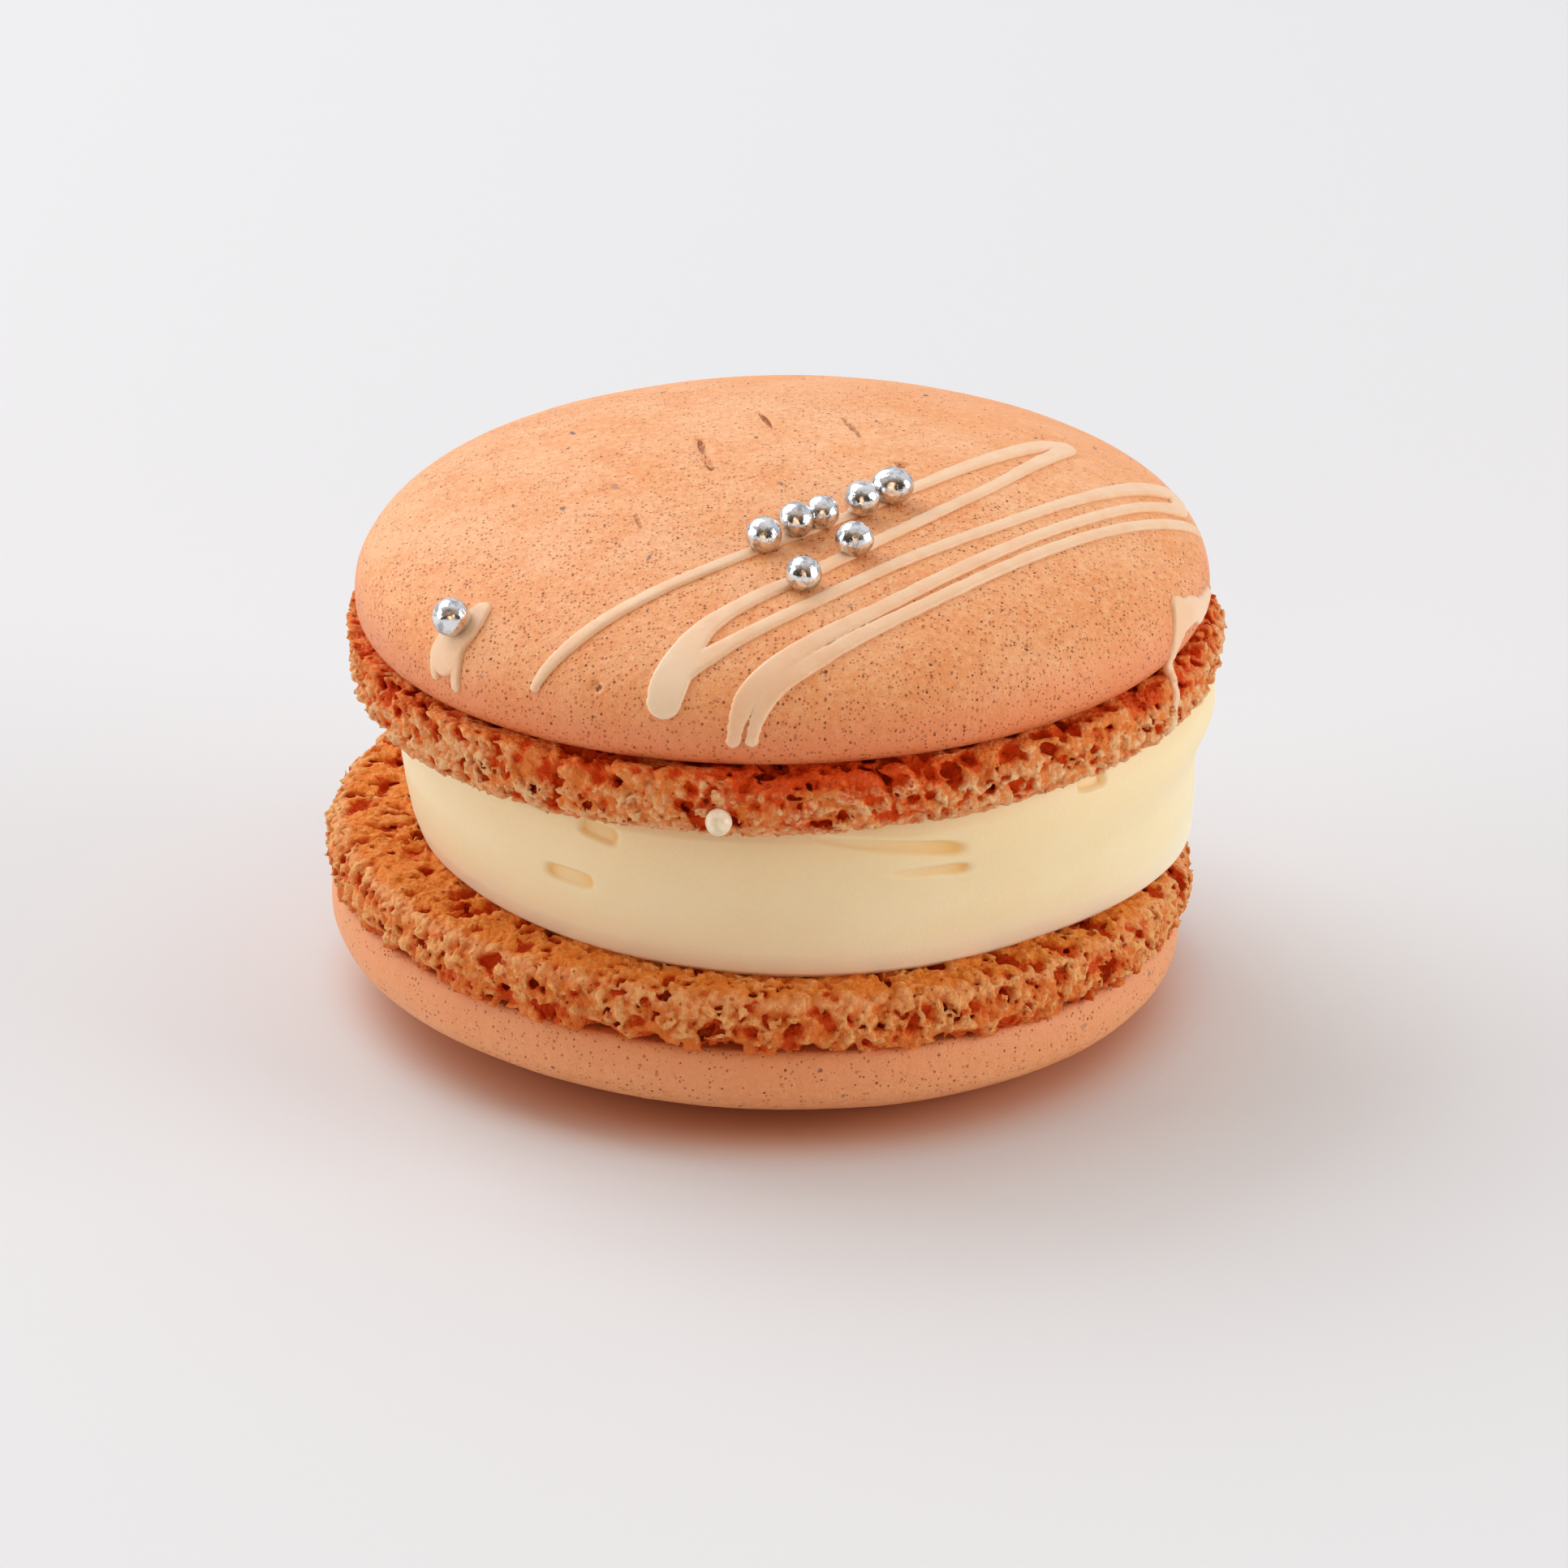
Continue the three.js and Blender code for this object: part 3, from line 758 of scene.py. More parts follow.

# %% [markdown]
# ## The finish of the feet
# Baked sponge looks pale where it sticks out into the light and glows a deep orange red inside its
# pits, where light has passed through the sponge around them. That light and shade is painted into
# the
# colour: a painted highlight on the raised lumps, a painted orange red glow and shade on the pit
# walls and a dark painted shade deep in the caves. The depth that the tree kept drives a ramp of
# colours, and noise roughens its limits so that the steps don't show.


# %% Finish of the feet
def foot_finish(name, crumb, sponge, pit_glow_and_shade, cave, lip, face, ruddy=0.0):
    material, g, place = new_finish(name)
    pit, hollow, level, outward = map(g.stored, ("pit", "hollow", "level", "outward"))
    patches = g.noise(place, 0.0035, 3, 0.6)
    mottle = g.noise(place, 0.0011, 4, 0.65)
    fine = g.noise(place, 0.0003, 4, 0.75)
    bent = g.vector("SUBTRACT", g.noise(place, 0.0005, 2, output="Color"), (0.5, 0.5, 0.5))
    bent = g.vector("ADD", place, g.vector("MULTIPLY", bent, (0.0003, 0.0003, 0.0003)))
    grains = g.cells(bent, 0.00042)
    tone, _, _ = g.chance(grains)
    crevice = g.ramp(grains, 0.35, 0.7)

    flat = g.ramp(level + (mottle - 0.5) * 0.2, -0.7, -0.92)
    inner = g.ramp(outward, 0.985, 0.94)
    colour = g.mix(flat * (1 - inner) * 0.7, sponge, lip)
    colour = g.mix(flat * inner * 0.8, colour, face)
    # Painted highlight: the raised lumps go towards the pale crumb colour, mixed with random grain
    # tone.
    raised = g.ramp(pit + (mottle - 0.5) * 0.5, 0.4, -0.5)
    raised = raised * 0.7 + tone * 0.35 + (fine - 0.5) * 0.8 + (patches - 0.5) * 0.8
    raised = g.ramp(raised - flat * inner * 0.25, 0.15, 0.75, 0, 0.95)
    colour = g.mix(raised, colour, crumb)
    deep = hollow * 0.5 + g.ramp(pit, 0.1, 1.1) * 0.8 + (mottle - 0.5) * 0.5
    x, y, _ = g.split(place)
    stretch = g.ramp((x - 0.003).math("ABSOLUTE"), 0.011, 0.004) * g.ramp(y, -0.02, -0.026) * ruddy
    blotch = g.ramp(patches + level * 0.3, 0.2, 0.4) * stretch
    deep = deep + blotch * 0.5
    # Painted glow and shade: pit walls and the crevices between grains go deep orange red.
    colour = g.mix(g.ramp(deep + crevice * 0.25, 0.25, 0.85), colour, pit_glow_and_shade)
    # Painted shade: the deepest caves get the darkest colour.
    colour = g.mix(g.ramp(pit + (mottle - 0.5) * 0.6, 0.9, 2.0, 0, 0.9), colour, cave)
    dots = g.cells(place, 0.00055)
    size, rare, _ = g.chance(dots)
    pore = g.ramp(dots / (size * 0.22 + 0.12), 1.0, 0.5) * g.ramp(rare, 0.4, 0.36)
    # Painted glow and shade in the tiny pores as well.
    colour = g.mix(pore * 0.8, colour, pit_glow_and_shade)
    relief = fine * 0.6 + g.noise(place, 0.0007, 3, 0.6) * 0.4 - pore * 0.8 - grains * 0.9
    rough = g.ramp(deep, 0.2, 0.9, 0.55, 0.4)
    glow = (0.2, (1.0, 0.4, 0.15), 0.001)
    g.surface(colour, rough, relief, (0.0003, 1.0), glow, Specular_IOR_Level=0.22)
    return material


upper_foot_finish = foot_finish(
    "upper_foot_sponge",
    # The crumb colour is a painted highlight, the pit colour a painted glow and shade, the cave
    # colour a painted shade.
    crumb=paint(255, 204, 148),
    sponge=paint(244, 138, 60),
    pit_glow_and_shade=paint(234, 82, 6),
    cave=paint(184, 44, 3),
    lip=paint(250, 176, 122),
    face=paint(240, 146, 76),
    ruddy=1.0,
)
lower_foot_finish = foot_finish(
    "lower_foot_sponge",
    # The crumb colour is a painted highlight, the pit colour a painted glow and shade, the cave
    # colour a painted shade.
    crumb=paint(255, 190, 122),
    sponge=paint(238, 128, 50),
    pit_glow_and_shade=paint(226, 80, 6),
    cave=paint(174, 42, 3),
    lip=paint(250, 176, 118),
    face=paint(246, 146, 50),
)

# %% Make the two feet
foot_voxel = 0.2
most_triangles = 190_000


def thin_out(mesh, most):
    """Merges the smallest faces of a mesh until it has at most this many triangles."""
    triangles = sum(len(face.vertices) - 2 for face in mesh.polygons)
    carrier = link_new("thinning", mesh)
    carrier.modifiers.new("collapse", "DECIMATE").ratio = min(1.0, most / triangles)
    return plain_mesh(carrier)


def foot(shell, name, finish, seed, hole, face_pits, undercut, set_back):
    sizes = {
        "Radius": shell.foot_radius,
        "Height": shell.foot_height,
        "Hole radius": hole[0],
        "Hole shift": hole[1],
        "Shift": shell.foot_shift,
        "Lean": shell.foot_lean,
        "Voxel": foot_voxel,
        "Seed": seed,
        "Face pits": face_pits,
        "Undercut": undercut,
        "Set back": set_back,
        "Material": finish,
    }
    mesh = made_by(craggy_foot, foot_inputs, name, sizes)
    mesh = thin_out(mesh, most_triangles)
    mesh.transform(shell_matrix(shell))
    piece = new_piece(name, mesh, finish)
    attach(piece, "root")
    report(piece)
    return piece


upper_foot = foot(upper, "upper_foot", upper_foot_finish, 3.0, (23.0, 1.0), 0.5, 0.35, 0.1)
lower_foot = foot(lower, "lower_foot", lower_foot_finish, 11.0, (22.5, 2.0), 1.0, 0.4, 0.3)
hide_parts("shell_top")
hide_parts("shell_bottom")

# %% [markdown]
# ## The cream
# The cream was piped on and pressed into a wedge between the two faces. Its side is smooth, with
# faint streaks where it spread, a few slots where air was trapped, and a small tongue squeezed
# out on the right. It is one skin of fine rings from face to face, pushed in at the air holes.

# %% Shape of the cream
cream_rings = 104
around_cream = 660
# Up the side of the cream: level from 0 to 1, how far it is drawn in, and how far to the right.
side_outline = [
    (0, 0.7, 0.8),
    (0.04, 0.2, 0.7),
    (0.15, 0.05, 0.5),
    (0.32, 0, 0.25),
    (0.5, 0, 0),
    (0.7, 0, 0),
    (0.88, 0.1, 0),
    (1, 0.5, 0),
]
tongue = SimpleNamespace(angle=math.radians(2), spread=0.4, level=0.8, reach=0.15, proud=0.95)
# Where the lower edge stands back from the rim, which fades upwards.
recess = SimpleNamespace(angle=math.radians(-46), spread=0.72, reach=0.8, power=1.3, deep=3.4)
# Air holes: angle and height of both ends, width, depth, and how much the first end narrows.
air_holes = [
    ((-122.4, 20.8), (-115.8, 20.4), 1.45, 0.32, 0.1),
    ((-128.1, 16.9), (-119.6, 16.8), 1.3, 0.32, 0.0),
    ((-89.0, 21.9), (-66.0, 20.3), 1.4, 0.32, 0.7),
    ((-78.5, 19.1), (-65.2, 18.8), 1.1, 0.28, 0.6),
    ((-48.0, 22.6), (-42.4, 22.7), 1.1, 0.4, 0.3),
]


# How far the cream sinks into the lower and the upper face, less and more.
sunk_low, sunk_high = 0.05, 0.25


def lower_face_at(x):
    slope = math.tan(lower.tilt)
    return lower.place.z + lower.foot_height * face_share - (x - lower.place.x) * slope


def upper_face_at(x):
    slope = math.tan(upper.tilt - upper.foot_lean)
    return upper.place.z - upper.foot_height - (x - upper.place.x) * slope


def cream_mesh():
    angles = np.arange(around_cream) / around_cream * 2 * math.pi
    angles = np.where(angles > math.pi, angles - 2 * math.pi, angles)
    levels = np.linspace(0, 1, cream_rings)
    shares, drawn, pushed = (np.array(column) for column in zip(*side_outline))
    drawn_in = np.interp(levels, shares, drawn)[:, None]
    push = np.interp(levels, shares, pushed)[:, None]
    bump = np.exp(-(((angles - tongue.angle) / tongue.spread) ** 2))[None, :]
    bump = bump * np.exp(-(((levels - tongue.level) / tongue.reach) ** 2))[:, None]
    beside = np.exp(-(((angles - recess.angle) / recess.spread) ** 2))[None, :]
    low_down = np.clip(1 - levels / recess.reach, 0, 1)[:, None] ** recess.power
    radius = cream.radius - drawn_in + tongue.proud * bump - recess.deep * beside * low_down
    x = cream.centre.x + push + radius * np.cos(angles)
    y = cream.centre.y + radius * np.sin(angles)
    low = lower_face_at(x) + sunk_low
    high = upper_face_at(x) + sunk_high
    z = low + levels[:, None] * (high - low)
    rings = np.stack([x, y, z], 2)

    flat = np.stack([x * 0.16, y * 0.16, z], 2)
    streaks = cloud(flat, 0.8, 5) * 0.01 + cloud(flat, 2.4, 6) * 0.05 + cloud(rings, 9, 7) * 0.15
    hole = np.zeros(x.shape)
    push_in = np.zeros(x.shape)
    for (narrow, narrow_z), (broad, broad_z), wide, deep, taper in air_holes:
        share = ((np.degrees(angles) - narrow) / (broad - narrow))[None, :]
        inner_share = np.clip(share, 0, 1)
        middle = narrow_z + (broad_z - narrow_z) * inner_share
        fade = 1 - taper * (1 - inner_share) ** 1.5
        up = (z - middle) / (wide / 2 * fade)
        along = np.abs(share * 2 - 1)
        away = (along**6 + np.abs(up) ** 2.6) ** (1 / 3)
        mouth = np.clip((1.06 - away) / 0.4, 0, 1) * fade
        mouth = mouth * mouth * (3 - 2 * mouth)
        end = inner_share**6 if taper > 0.5 else np.abs(inner_share * 2 - 1) ** 3
        hole = np.maximum(hole, mouth * (0.45 + 0.55 * end))
        push_in = np.maximum(push_in, mouth * deep)
        push_in -= 0.05 * np.exp(-(((away - 1.3) / 0.2) ** 2))
    outwards = np.stack([np.cos(angles), np.sin(angles)], 1)[None, :, :]
    rings[:, :, :2] += outwards * (streaks - push_in)[:, :, None]
    rings = rings[::-1]
    inner = [
        rings * [share, share, 1] + [cream.centre.x * (1 - share), 0, 0] for share in (0.6, 0.25)
    ]
    top_rows = np.stack([flatten_row(row[0], True) for row in (inner[1], inner[0])])
    low_rows = np.stack([flatten_row(row[-1], False) for row in inner])
    rows = np.concatenate([top_rows, rings, low_rows])
    middle = cream.centre.x
    first = (middle, cream.centre.y, upper_face_at(middle) + sunk_high)
    last = (middle, cream.centre.y, lower_face_at(middle) + sunk_low)
    mesh = skin("cream", rows, first, last)
    blank = np.zeros((2, around_cream))
    store(mesh, "hole", np.append(np.concatenate([blank, hole[::-1], blank]).ravel(), [0, 0]))
    share = np.concatenate([blank + 1, np.repeat(levels[::-1, None], around_cream, 1), blank])
    store(mesh, "level", np.append(share.ravel(), [1, 0]))
    mesh.transform(Matrix.Scale(0.001, 4))
    return mesh


def flatten_row(row, top):
    """A ring across one of the two faces, on the plane of that face."""
    x = row[:, 0]
    height = upper_face_at(x) + sunk_high if top else lower_face_at(x) + sunk_low
    return np.stack([x, row[:, 1], height], 1)


# %% Finish of the cream
def cream_finish():
    material, g, place = new_finish("white_cream")
    hole = g.stored("hole")
    level = g.stored("level")
    drawn = g.vector("MULTIPLY", place, (0.12, 0.12, 1.0))
    streak = g.noise(drawn, 0.0009, 4, 0.6)
    soft = g.noise(place, 0.007, 3, 0.5)
    grain = g.noise(place, 0.00025, 3, 0.6)
    clouds = g.ramp(streak * 0.3 + soft, 0.4, 1.0)
    colour = g.mix(clouds, paint(253, 236, 192), paint(250, 229, 178))
    # Painted light: paler towards the bottom of the side.
    colour = g.mix(g.ramp(level, 0.3, 0.0, 0, 0.8), colour, paint(255, 244, 220))
    # Painted shade: darker and yellower up the side, under the overhang of the upper foot.
    colour = g.mix(g.ramp(level, 0.35, 0.8, 0, 0.6), colour, paint(249, 224, 170))
    colour = g.mix(g.ramp(grain, 0.3, 0.7, 0, 0.25), colour, paint(252, 242, 222))
    # Painted shade: a darker band at the top, just under the lip of the upper foot.
    colour = g.mix(g.ramp(level, 0.93, 1.0, 0, 0.5), colour, paint(226, 180, 120))
    colour = g.mix(g.ramp(hole, 0.1, 0.95, 0, 0.95), colour, paint(242, 192, 96))
    relief = grain * 0.5 + streak * 0.12
    rough = g.ramp(soft, 0.3, 0.7, 0.42, 0.55)
    g.surface(colour, rough, relief, (0.0001, 0.4), (0.35, (1.0, 0.6, 0.32), 0.0022))
    return material


filling = new_piece("cream", cream_mesh(), cream_finish())
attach(filling, "root")
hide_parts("filling")
report(filling)

# %% [markdown]
# ## White chocolate drizzle
# The chocolate ran off a spoon in one long line that turned back and forth, and settled to flat
# strands with crisp edges. The route is a curve for each pass. Geometry Nodes turn it into many
# points, grow a ball round each and wrap one surface round them all, so that strands that touch
# flow together. The result stands up like a rope, so each vertex is then pressed down towards
# the cap, the more the higher it stands, which leaves a flat top.

# %% Routes of the drizzle
strand_thickness = 0.3
route_spacing = 0.12
thick_passes = 5
# Each pass over the upper cap, seen from above: x, y and half the strand's width.
passes = [
    [(-15.5, -23.5, 0.35), (-13, -22.2, 0.5), (-8.1, -19.3, 0.52), (-1.9, -15.5, 0.48),
     (4.2, -10.9, 0.42), (9.3, -5.6, 0.5), (14.2, 0.4, 0.62), (17.6, 4.5, 0.75),
     (19.2, 5.5, 0.75)],
    [(19.4, 5.1, 0.75), (18.0, 2.3, 0.6), (14, -4.8, 0.5), (8.8, -11.3, 0.5),
     (2.9, -17.3, 0.55), (-1.4, -20.5, 0.6), (-4.2, -22.7, 0.75), (-5.7, -24.6, 1.05),
     (-6.7, -26.2, 1.25), (-7.1, -27.0, 1.15)],
    [(-6.8, -26.3, 0.9), (-3, -24.4, 0.6), (2.7, -20.7, 0.52), (8.7, -15.5, 0.5),
     (14.9, -9.7, 0.5), (20.2, -3.5, 0.55), (24.2, 1.7, 0.72), (26.3, 4.2, 0.8)],
    [(26.6, 3.9, 0.8), (26.7, 1.7, 0.7), (24.2, -1.6, 0.5), (20.1, -6.9, 0.5),
     (13.8, -14.1, 0.52), (7.2, -20.7, 0.58), (1.8, -24.8, 0.75), (-1.3, -27.1, 0.8),
     (-2.4, -28.2, 0.6), (-2.8, -28.6, 0.42)],
    [(-1.6, -28.6, 0.4), (-1.2, -28.3, 0.5), (0.2, -27.1, 0.65), (4.2, -24.5, 0.6),
     (10.2, -19.7, 0.52), (16.4, -13.4, 0.5), (21.1, -8.1, 0.48), (24.4, -4.2, 0.5),
     (26.5, -1.4, 0.5), (27.9, 1, 0.5)],
    [(-19.1, -16.9, 0.7), (-20.1, -17.7, 1.1), (-21.4, -18.3, 1.2)],
    [(28.4, -4.4, 0.5), (27.9, -6.6, 0.8), (27.0, -9.1, 1.0), (26.3, -10.9, 1.0)],
]
# Drips down the rim: angle round the shell in degrees, height and half the width.
drips = [
    [(-141.5, 5.6, 0.5), (-141.9, 4, 0.42), (-140.9, 2.6, 0.36)],
    [(-138.3, 5.4, 0.5), (-137.2, 3.9, 0.42), (-136.6, 2.4, 0.36)],
    [(-22, 3.4, 1.1), (-23.6, 2.7, 0.9), (-25.2, 1.8, 0.6), (-26.3, 0.6, 0.42), (-27.8, -0.8, 0.36),
     (-28.7, -2.2, 0.4), (-28.5, -4, 0.4)],
]


def smooth_route(points):
    """Points along a smooth curve through all the given ones, with the width as the last value."""
    given = np.array(points, float)
    given = np.concatenate([[2 * given[0] - given[1]], given, [2 * given[-1] - given[-2]]])
    made = []
    for a, b, c, d in zip(given, given[1:], given[2:], given[3:]):
        steps = max(2, int(np.linalg.norm((c - b)[:-1]) / route_spacing))
        for share in np.arange(steps) / steps:
            curve = 2 * b + (c - a) * share + (2 * a - 5 * b + 4 * c - d) * share**2
            made.append((curve + (3 * b - a - 3 * c + d) * share**3) / 2)
    made.append(given[-2])
    return np.array(made)


def side_radius(shell, z):
    """The radius of the rim or the foot at a height, for what runs down over it."""
    if z > shell.rim_height:
        share = (z - shell.rim_height) / (shell.cap_height - shell.rim_height)
        return shell.cap_radius * math.sqrt(1 - share**shell.dome_power)
    return shell.cap_radius if z > 0 else shell.foot_radius


def pass_route(points):
    route = smooth_route(points)
    heights = cap_height_at(upper, route[:, 0], route[:, 1])
    return np.column_stack([route[:, :2], heights, route[:, 2]])


def drip_route(points):
    corners = []
    for angle, z, wide in points:
        reach = side_radius(upper, z)
        turn = math.radians(angle)
        corners.append((reach * math.cos(turn), reach * math.sin(turn), z, wide))
    return smooth_route(corners)


routes = [pass_route(points) for points in passes] + [drip_route(points) for points in drips]
print("drizzle:", len(routes), "strands,", sum(len(route) for route in routes), "points")


# %% The tree that wraps the strands
def strand_tree():
    tree, named, g, given = new_tree("strands", {"Voxel": 0.14, "Wobble": 0.1})
    place = g.add("GeometryNodeInputPosition")
    uneven = (g.noise(place, 1.6, 2) - 0.5) * 2 * g.also(given, "Wobble") + 1
    radius = g.kept("half_width") * uneven
    points = g.add("GeometryNodeMeshToPoints", {"Mesh": given, "Radius": radius})
    inputs = {"Points": points, "Density": 1.0, "Voxel Size": g.also(given, "Voxel")}
    inputs["Radius"] = radius
    volume = g.add("GeometryNodePointsToVolume", inputs, resolution_mode="VOXEL_SIZE")
    mesh = g.add("GeometryNodeVolumeToMesh", {"Volume": volume, "Threshold": 0.1})
    end_tree(g, mesh, given)
    return tree, named


# %% Finish of the white chocolate
def chocolate_finish():
    material, g, place = new_finish("white_chocolate")
    body = g.stored("body")
    mottle = g.noise(place, 0.002, 3, 0.6)
    grain = g.noise(place, 0.0003, 3, 0.6)
    thin = g.mix(g.ramp(mottle, 0.35, 0.7), paint(250, 210, 174), paint(247, 200, 160))
    colour = g.mix(g.ramp(body + (mottle - 0.5) * 0.3, 0.7, 1.25), thin, paint(252, 232, 204))
    relief = grain * 0.3 + mottle * 0.6
    rough = g.ramp(mottle, 0.3, 0.7, 0.36, 0.5)
    g.surface(colour, rough, relief, (0.00012, 0.6), (0.25, (1.0, 0.6, 0.35), 0.001))
    return material


# %% Make the drizzle and press it onto the shell
strand_voxel = 0.14
strand_wobble = 0.12
sunk = 0.12
nearest_points = 40

route_points = np.concatenate(routes)
line = bpy.data.meshes.new("drizzle_route")
line.from_pydata(route_points[:, :3].tolist(), [], [])
store(line, "half_width", route_points[:, 3])
chocolate = chocolate_finish()
strands, strand_inputs = strand_tree()
drizzle_mesh = made_by(
    strands,
    strand_inputs,
    "drizzle",
    {"Voxel": strand_voxel, "Wobble": strand_wobble, "Material": chocolate},
    base=line,
)
drizzle_mesh.transform(shell_matrix(upper))


def press_onto(mesh, trees, thickness, route, widths):
    """Flattens a mesh towards the surface under it, and returns how wide each strand is."""
    near = KDTree(len(route))
    for index, point in enumerate(route):
        near.insert(point, index)
    near.balance()
    moved, body = [], []
    for vertex in mesh.vertices:
        hits = [tree.find_nearest(vertex.co) for tree in trees]
        spot, normal, _, _ = min(hits, key=lambda hit: hit[3])
        away = (vertex.co - spot).dot(normal)
        flat = thickness * math.tanh(away / thickness) if away > 0 else max(away, -sunk * 0.001)
        moved.append(spot + normal * flat)
        beside = near.find_n(vertex.co, nearest_points)
        body.append(sum(widths[index] for _, index, _ in beside) / len(beside))
    set_points(mesh, moved)
    return body


# The smears and drips are thin, so more of the shell shows through them.
smeared = 0.6
tones = np.concatenate(
    [route[:, 3] * (smeared if index >= thick_passes else 1) for index, route in enumerate(routes)]
)
placed_route = [shell_matrix(upper) @ Vector(point[:3]) for point in route_points]
under_drizzle = [search_tree(piece.data) for piece in (upper_cap, upper_foot)]
thickness = strand_thickness * 0.001
body = press_onto(drizzle_mesh, under_drizzle, thickness, placed_route, tones)
store(drizzle_mesh, "body", body)
drizzle = new_piece("drizzle", drizzle_mesh, chocolate)
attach(drizzle, "root")
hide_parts("shell_top")
report(drizzle)

# %% [markdown]
# ## Silver dragees
# A dragee is a sugar ball with a thin coat of silver leaf, so it is bright like metal but a
# little lumpy and creased. One ball is instanced on eight points, each with its own size and
# shape, and the copies are then made real so that noise can dent each one differently.

# %% Make the dragees
# Each one from above: x, y, its radius, and how much longer than round it is.
dragees = [
    (-0.8, -15, 1.2, 1),
    (1.3, -13.1, 1.17, 1),
    (3, -12, 1.12, 1),
    (5.6, -10.1, 1.19, 1),
    (7.6, -8.1, 1.25, 1.15),
    (5.1, -15.3, 1.17, 1.1),
    (1.8, -19.4, 1.19, 1),
    (-21.1, -17.6, 1.27, 1),
]
dragee_sink = 0.12


def dragee_tree():
    tree, named, g, given = new_tree("dragees", {"Dents": 0.08})
    ball = g.add("GeometryNodeMeshIcoSphere", {"Radius": 1.0, "Subdivisions": 5})
    size = g.kept("size")
    points = g.add("GeometryNodeMeshToPoints", {"Mesh": given})
    scale = g.join(size * g.kept("oval"), size, size)
    inputs = {"Points": points, "Instance": ball, "Scale": scale}
    balls = g.add("GeometryNodeInstanceOnPoints", inputs)
    mesh = g.add("GeometryNodeRealizeInstances", {"Geometry": balls})
    place = g.add("GeometryNodeInputPosition")
    normal = g.add("GeometryNodeInputNormal")
    dent = (g.noise(place, 0.9, 2, 0.5) - 0.5) * g.also(given, "Dents") * 2
    crease = (g.noise(place, 0.35, 2, 0.5) - 0.5) * g.also(given, "Dents") * 0.35
    change = {0: normal, "Scale": dent + crease}
    offset = g.add("ShaderNodeVectorMath", change, operation="SCALE")
    mesh = g.add("GeometryNodeSetPosition", {"Geometry": mesh, "Offset": offset})
    end_tree(g, mesh, given)
    return tree, named


def silver_finish():
    material, g, place = new_finish("silver_leaf")
    patches = g.noise(place, 0.0007, 4, 0.7)
    colour = g.mix(g.ramp(patches, 0.45, 0.65), paint(236, 238, 240), paint(170, 172, 176))
    rough = g.ramp(patches, 0.4, 0.7, 0.08, 0.26)
    g.surface(colour, rough, patches, (0.0001, 0.4), Metallic=1.0)
    return material


spots = bpy.data.meshes.new("dragee_spots")
spot_places = [
    (x, y, cap_height_at(upper, x, y, radius - dragee_sink)) for x, y, radius, _ in dragees
]
spots.from_pydata(spot_places, [], [])
store(spots, "size", [radius for _, _, radius, _ in dragees])
store(spots, "oval", [oval for _, _, _, oval in dragees])
silver = silver_finish()
balls, ball_inputs = dragee_tree()
dragee_mesh = made_by(
    balls, ball_inputs, "silver_dragees", {"Dents": 0.08, "Material": silver}, base=spots
)
dragee_mesh.transform(shell_matrix(upper))
silver_dragees = new_piece("silver_dragees", dragee_mesh, silver)
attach(silver_dragees, "root")
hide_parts("shell_top")
report(silver_dragees)

# %% [markdown]
# ## The sugar pearl
# One small pearl sticks to the lower edge of the upper foot. It is a drop of white sugar that
# dried there, so it is not quite round, flatter on the side that it sticks by.

# %% Make the pearl
pearl = SimpleNamespace(angle=math.radians(-98), z=-3.0, radius=0.88)


def pearl_mesh():
    reach = upper.foot_radius + 0.4 * pearl.radius
    centre = Vector(
        (reach * math.cos(pearl.angle) + upper.foot_shift, reach * math.sin(pearl.angle), pearl.z)
    )
    inwards = -Vector((math.cos(pearl.angle), math.sin(pearl.angle), 0))
    angles = np.arange(64) / 64 * 2 * math.pi
    turns = np.arange(1, 40) / 40 * math.pi
    around = np.stack([np.cos(angles), np.sin(angles), np.ones(len(angles))], 1)
    rings = around * np.stack([np.sin(turns), np.sin(turns), np.cos(turns)], 1)[:, None, :]
    uneven = 1 + cloud(rings, 1.1, 4) * 0.07 + cloud(rings, 0.4, 9) * 0.015
    flat = np.clip(rings @ np.array(inwards), 0.55, 1) - 0.55
    rings = rings * uneven[:, :, None] - flat[:, :, None] * np.array(inwards)
    rings = rings * pearl.radius + np.array(centre)
    top = centre + Vector((0, 0, pearl.radius * uneven[0].mean()))
    bottom = centre - Vector((0, 0, pearl.radius * uneven[-1].mean()))
    mesh = skin("sugar_pearl", rings, tuple(top), tuple(bottom))
    mesh.transform(shell_matrix(upper))
    return mesh


def pearl_finish():
    material, g, place = new_finish("sugar_white")
    mottle = g.noise(place, 0.0004, 3, 0.6)
    colour = g.mix(g.ramp(mottle, 0.35, 0.7), paint(246, 236, 212), paint(232, 216, 184))
    g.surface(colour, 0.3, mottle, (0.00005, 0.4), (0.3, (1.0, 0.7, 0.5), 0.0006))
    return material


sugar_pearl = new_piece("sugar_pearl", pearl_mesh(), pearl_finish())
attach(sugar_pearl, "root")
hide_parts("shell_top")
report(sugar_pearl)

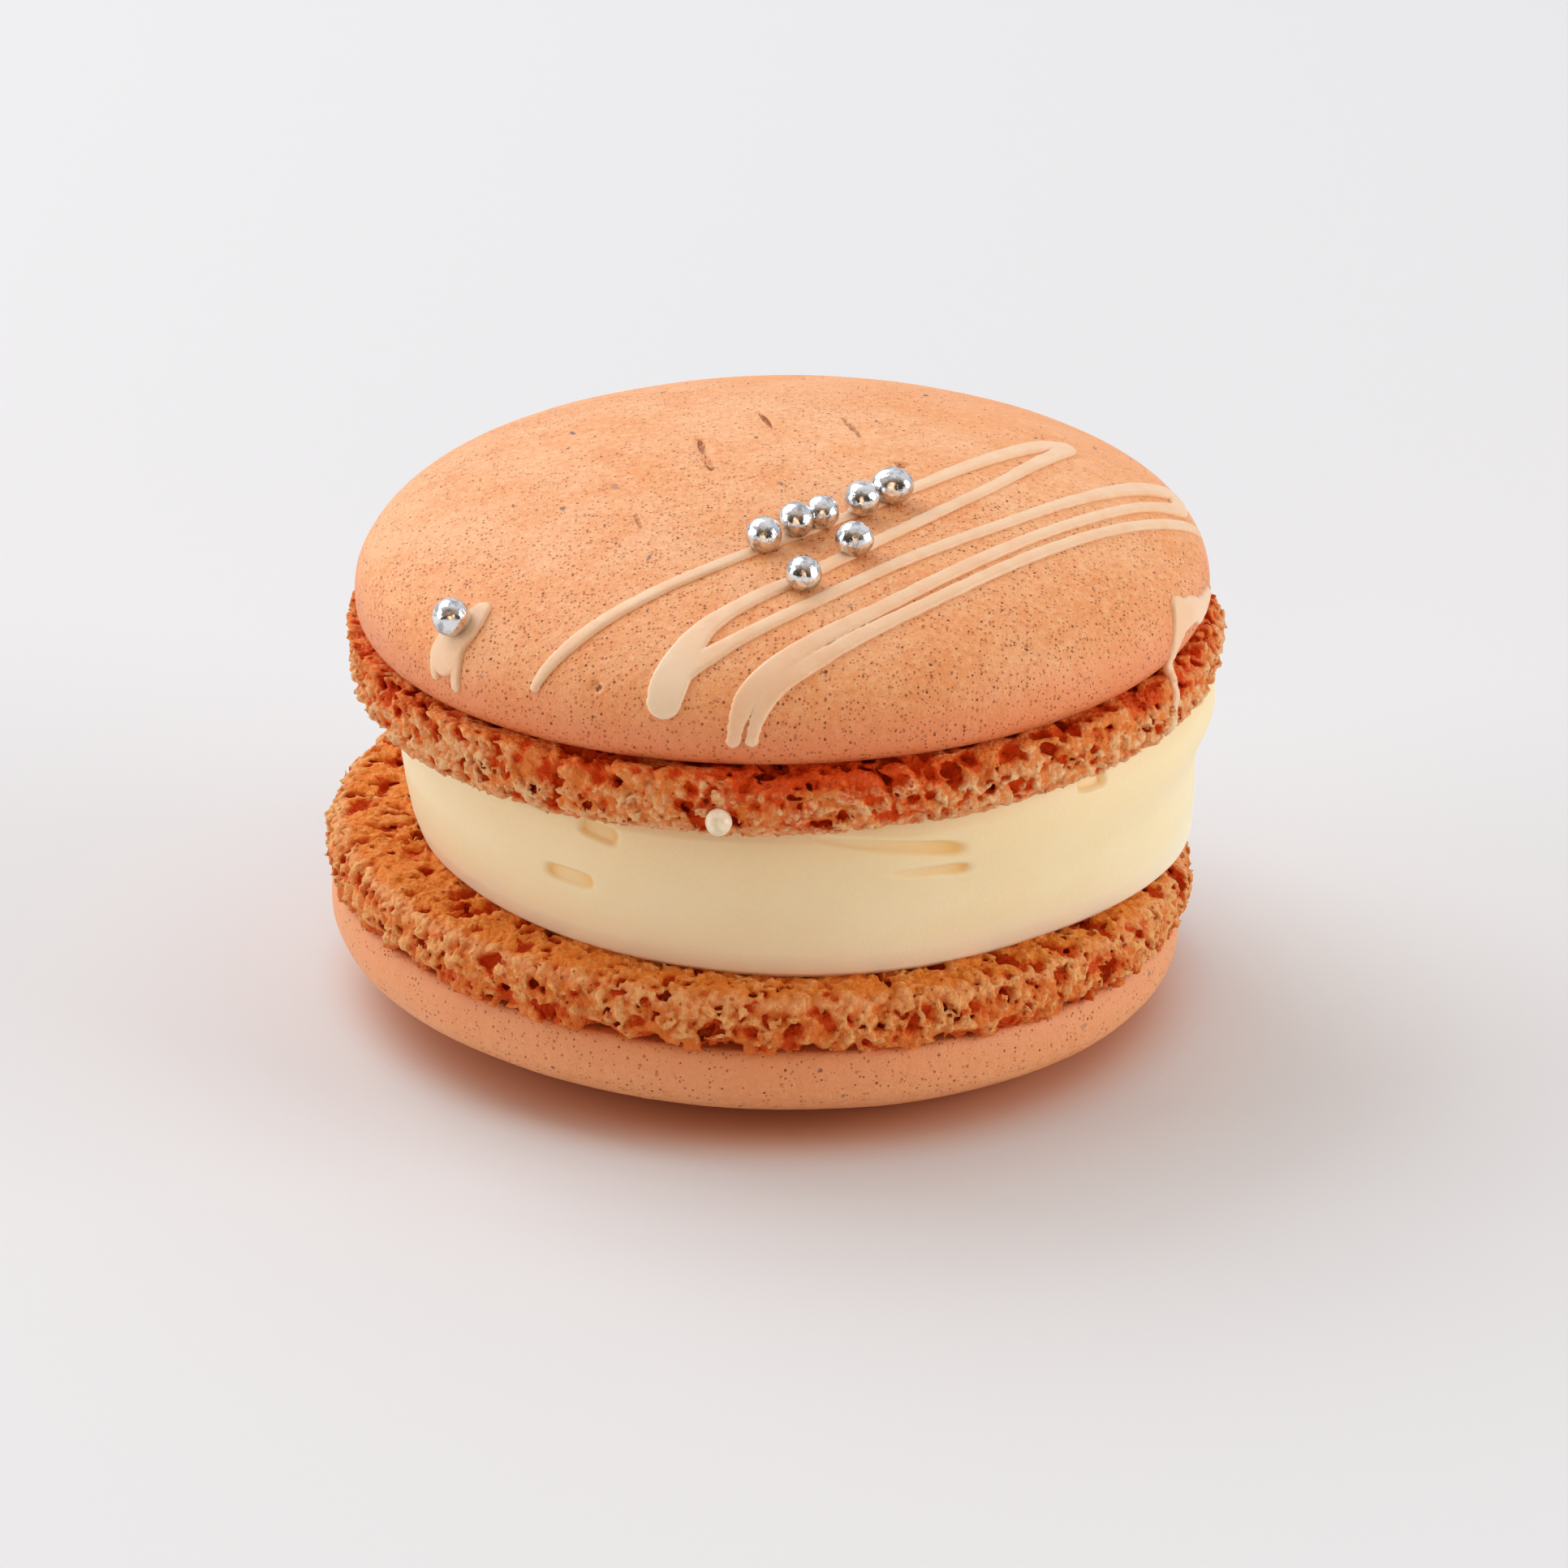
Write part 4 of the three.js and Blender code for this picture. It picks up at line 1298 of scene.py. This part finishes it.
# %% [markdown]
# ## Floor and light
# The macaron stands on a pale matt floor. The light is a large soft window, high up behind the
# left shoulder of the macaron, so its back and left are bright and its front falls into warm
# shade. The room itself is bright above and dim towards the viewer, which gives the silver
# something dark to mirror.

# %% Floor
floor_mesh = bpy.data.meshes.new("floor")
floor_reach = 3.0
corners = [(x * floor_reach, y * floor_reach, 0) for x, y in ((-1, -1), (1, -1), (1, 1), (-1, 1))]
floor_mesh.from_pydata(corners, [], [(0, 1, 2, 3)])
floor_paint, g, place = new_finish("pale_floor")
x, y, _ = g.split(place)
# Painted contact shadow: the floor goes warm brown close round the macaron, for its shadow and warm
# bounce light.
painted_contact_shadow = g.ramp((x * x + y * y) ** 0.5, 0.0315, 0.0235)
colour = g.mix(painted_contact_shadow, paint(226, 229, 233), paint(216, 166, 136))
matt = g.add("ShaderNodeBsdfPrincipled", {"Base Color": colour, "Roughness": 0.7})
g.add("ShaderNodeOutputMaterial", {"Surface": matt})
floor = new_piece("floor", floor_mesh, floor_paint)


# %% Lights
def window(name, place, size, power, tint):
    """A soft square light that looks at the macaron."""
    light = bpy.data.lights.new(name, "AREA")
    light.size = size
    light.energy = power
    light.color = tint
    lamp = link_new(name, light)
    lamp.location = place
    aim = Vector((0, 0, 0.02)) - Vector(place)
    lamp.rotation_euler = aim.to_track_quat("-Z", "Y").to_euler()


window("window", (-0.55, 0.5, 0.75), 0.8, 5.0, (1.0, 0.99, 0.97))
window("right_window", (0.85, -0.15, 0.22), 0.6, 4.2, (1.0, 0.99, 0.96))
window("left_window", (-0.9, -0.1, 0.32), 0.5, 2.5, (1.0, 0.98, 0.95))
window("warm_front", (0.0, -0.9, 0.28), 0.5, 1.3, (1.0, 0.6, 0.36))

world = bpy.data.worlds.new("room")
bpy.context.scene.world = world
world.use_nodes = True
g = Graph(world.node_tree)
direction = g.add("ShaderNodeTexCoord", output="Generated")
side, away, up = g.split(direction)
bright = g.ramp(up + away * 0.75, -0.5, 1.3, 0.04, 0.9)
tint = g.mix(g.ramp(away, 0.1, -0.7), paint(246, 246, 250), paint(250, 216, 184))
room = g.add("ShaderNodeBackground", {"Color": tint, "Strength": bright})
g.add("ShaderNodeOutputWorld", {"Surface": room})
bpy.context.scene.view_settings.view_transform = "Standard"
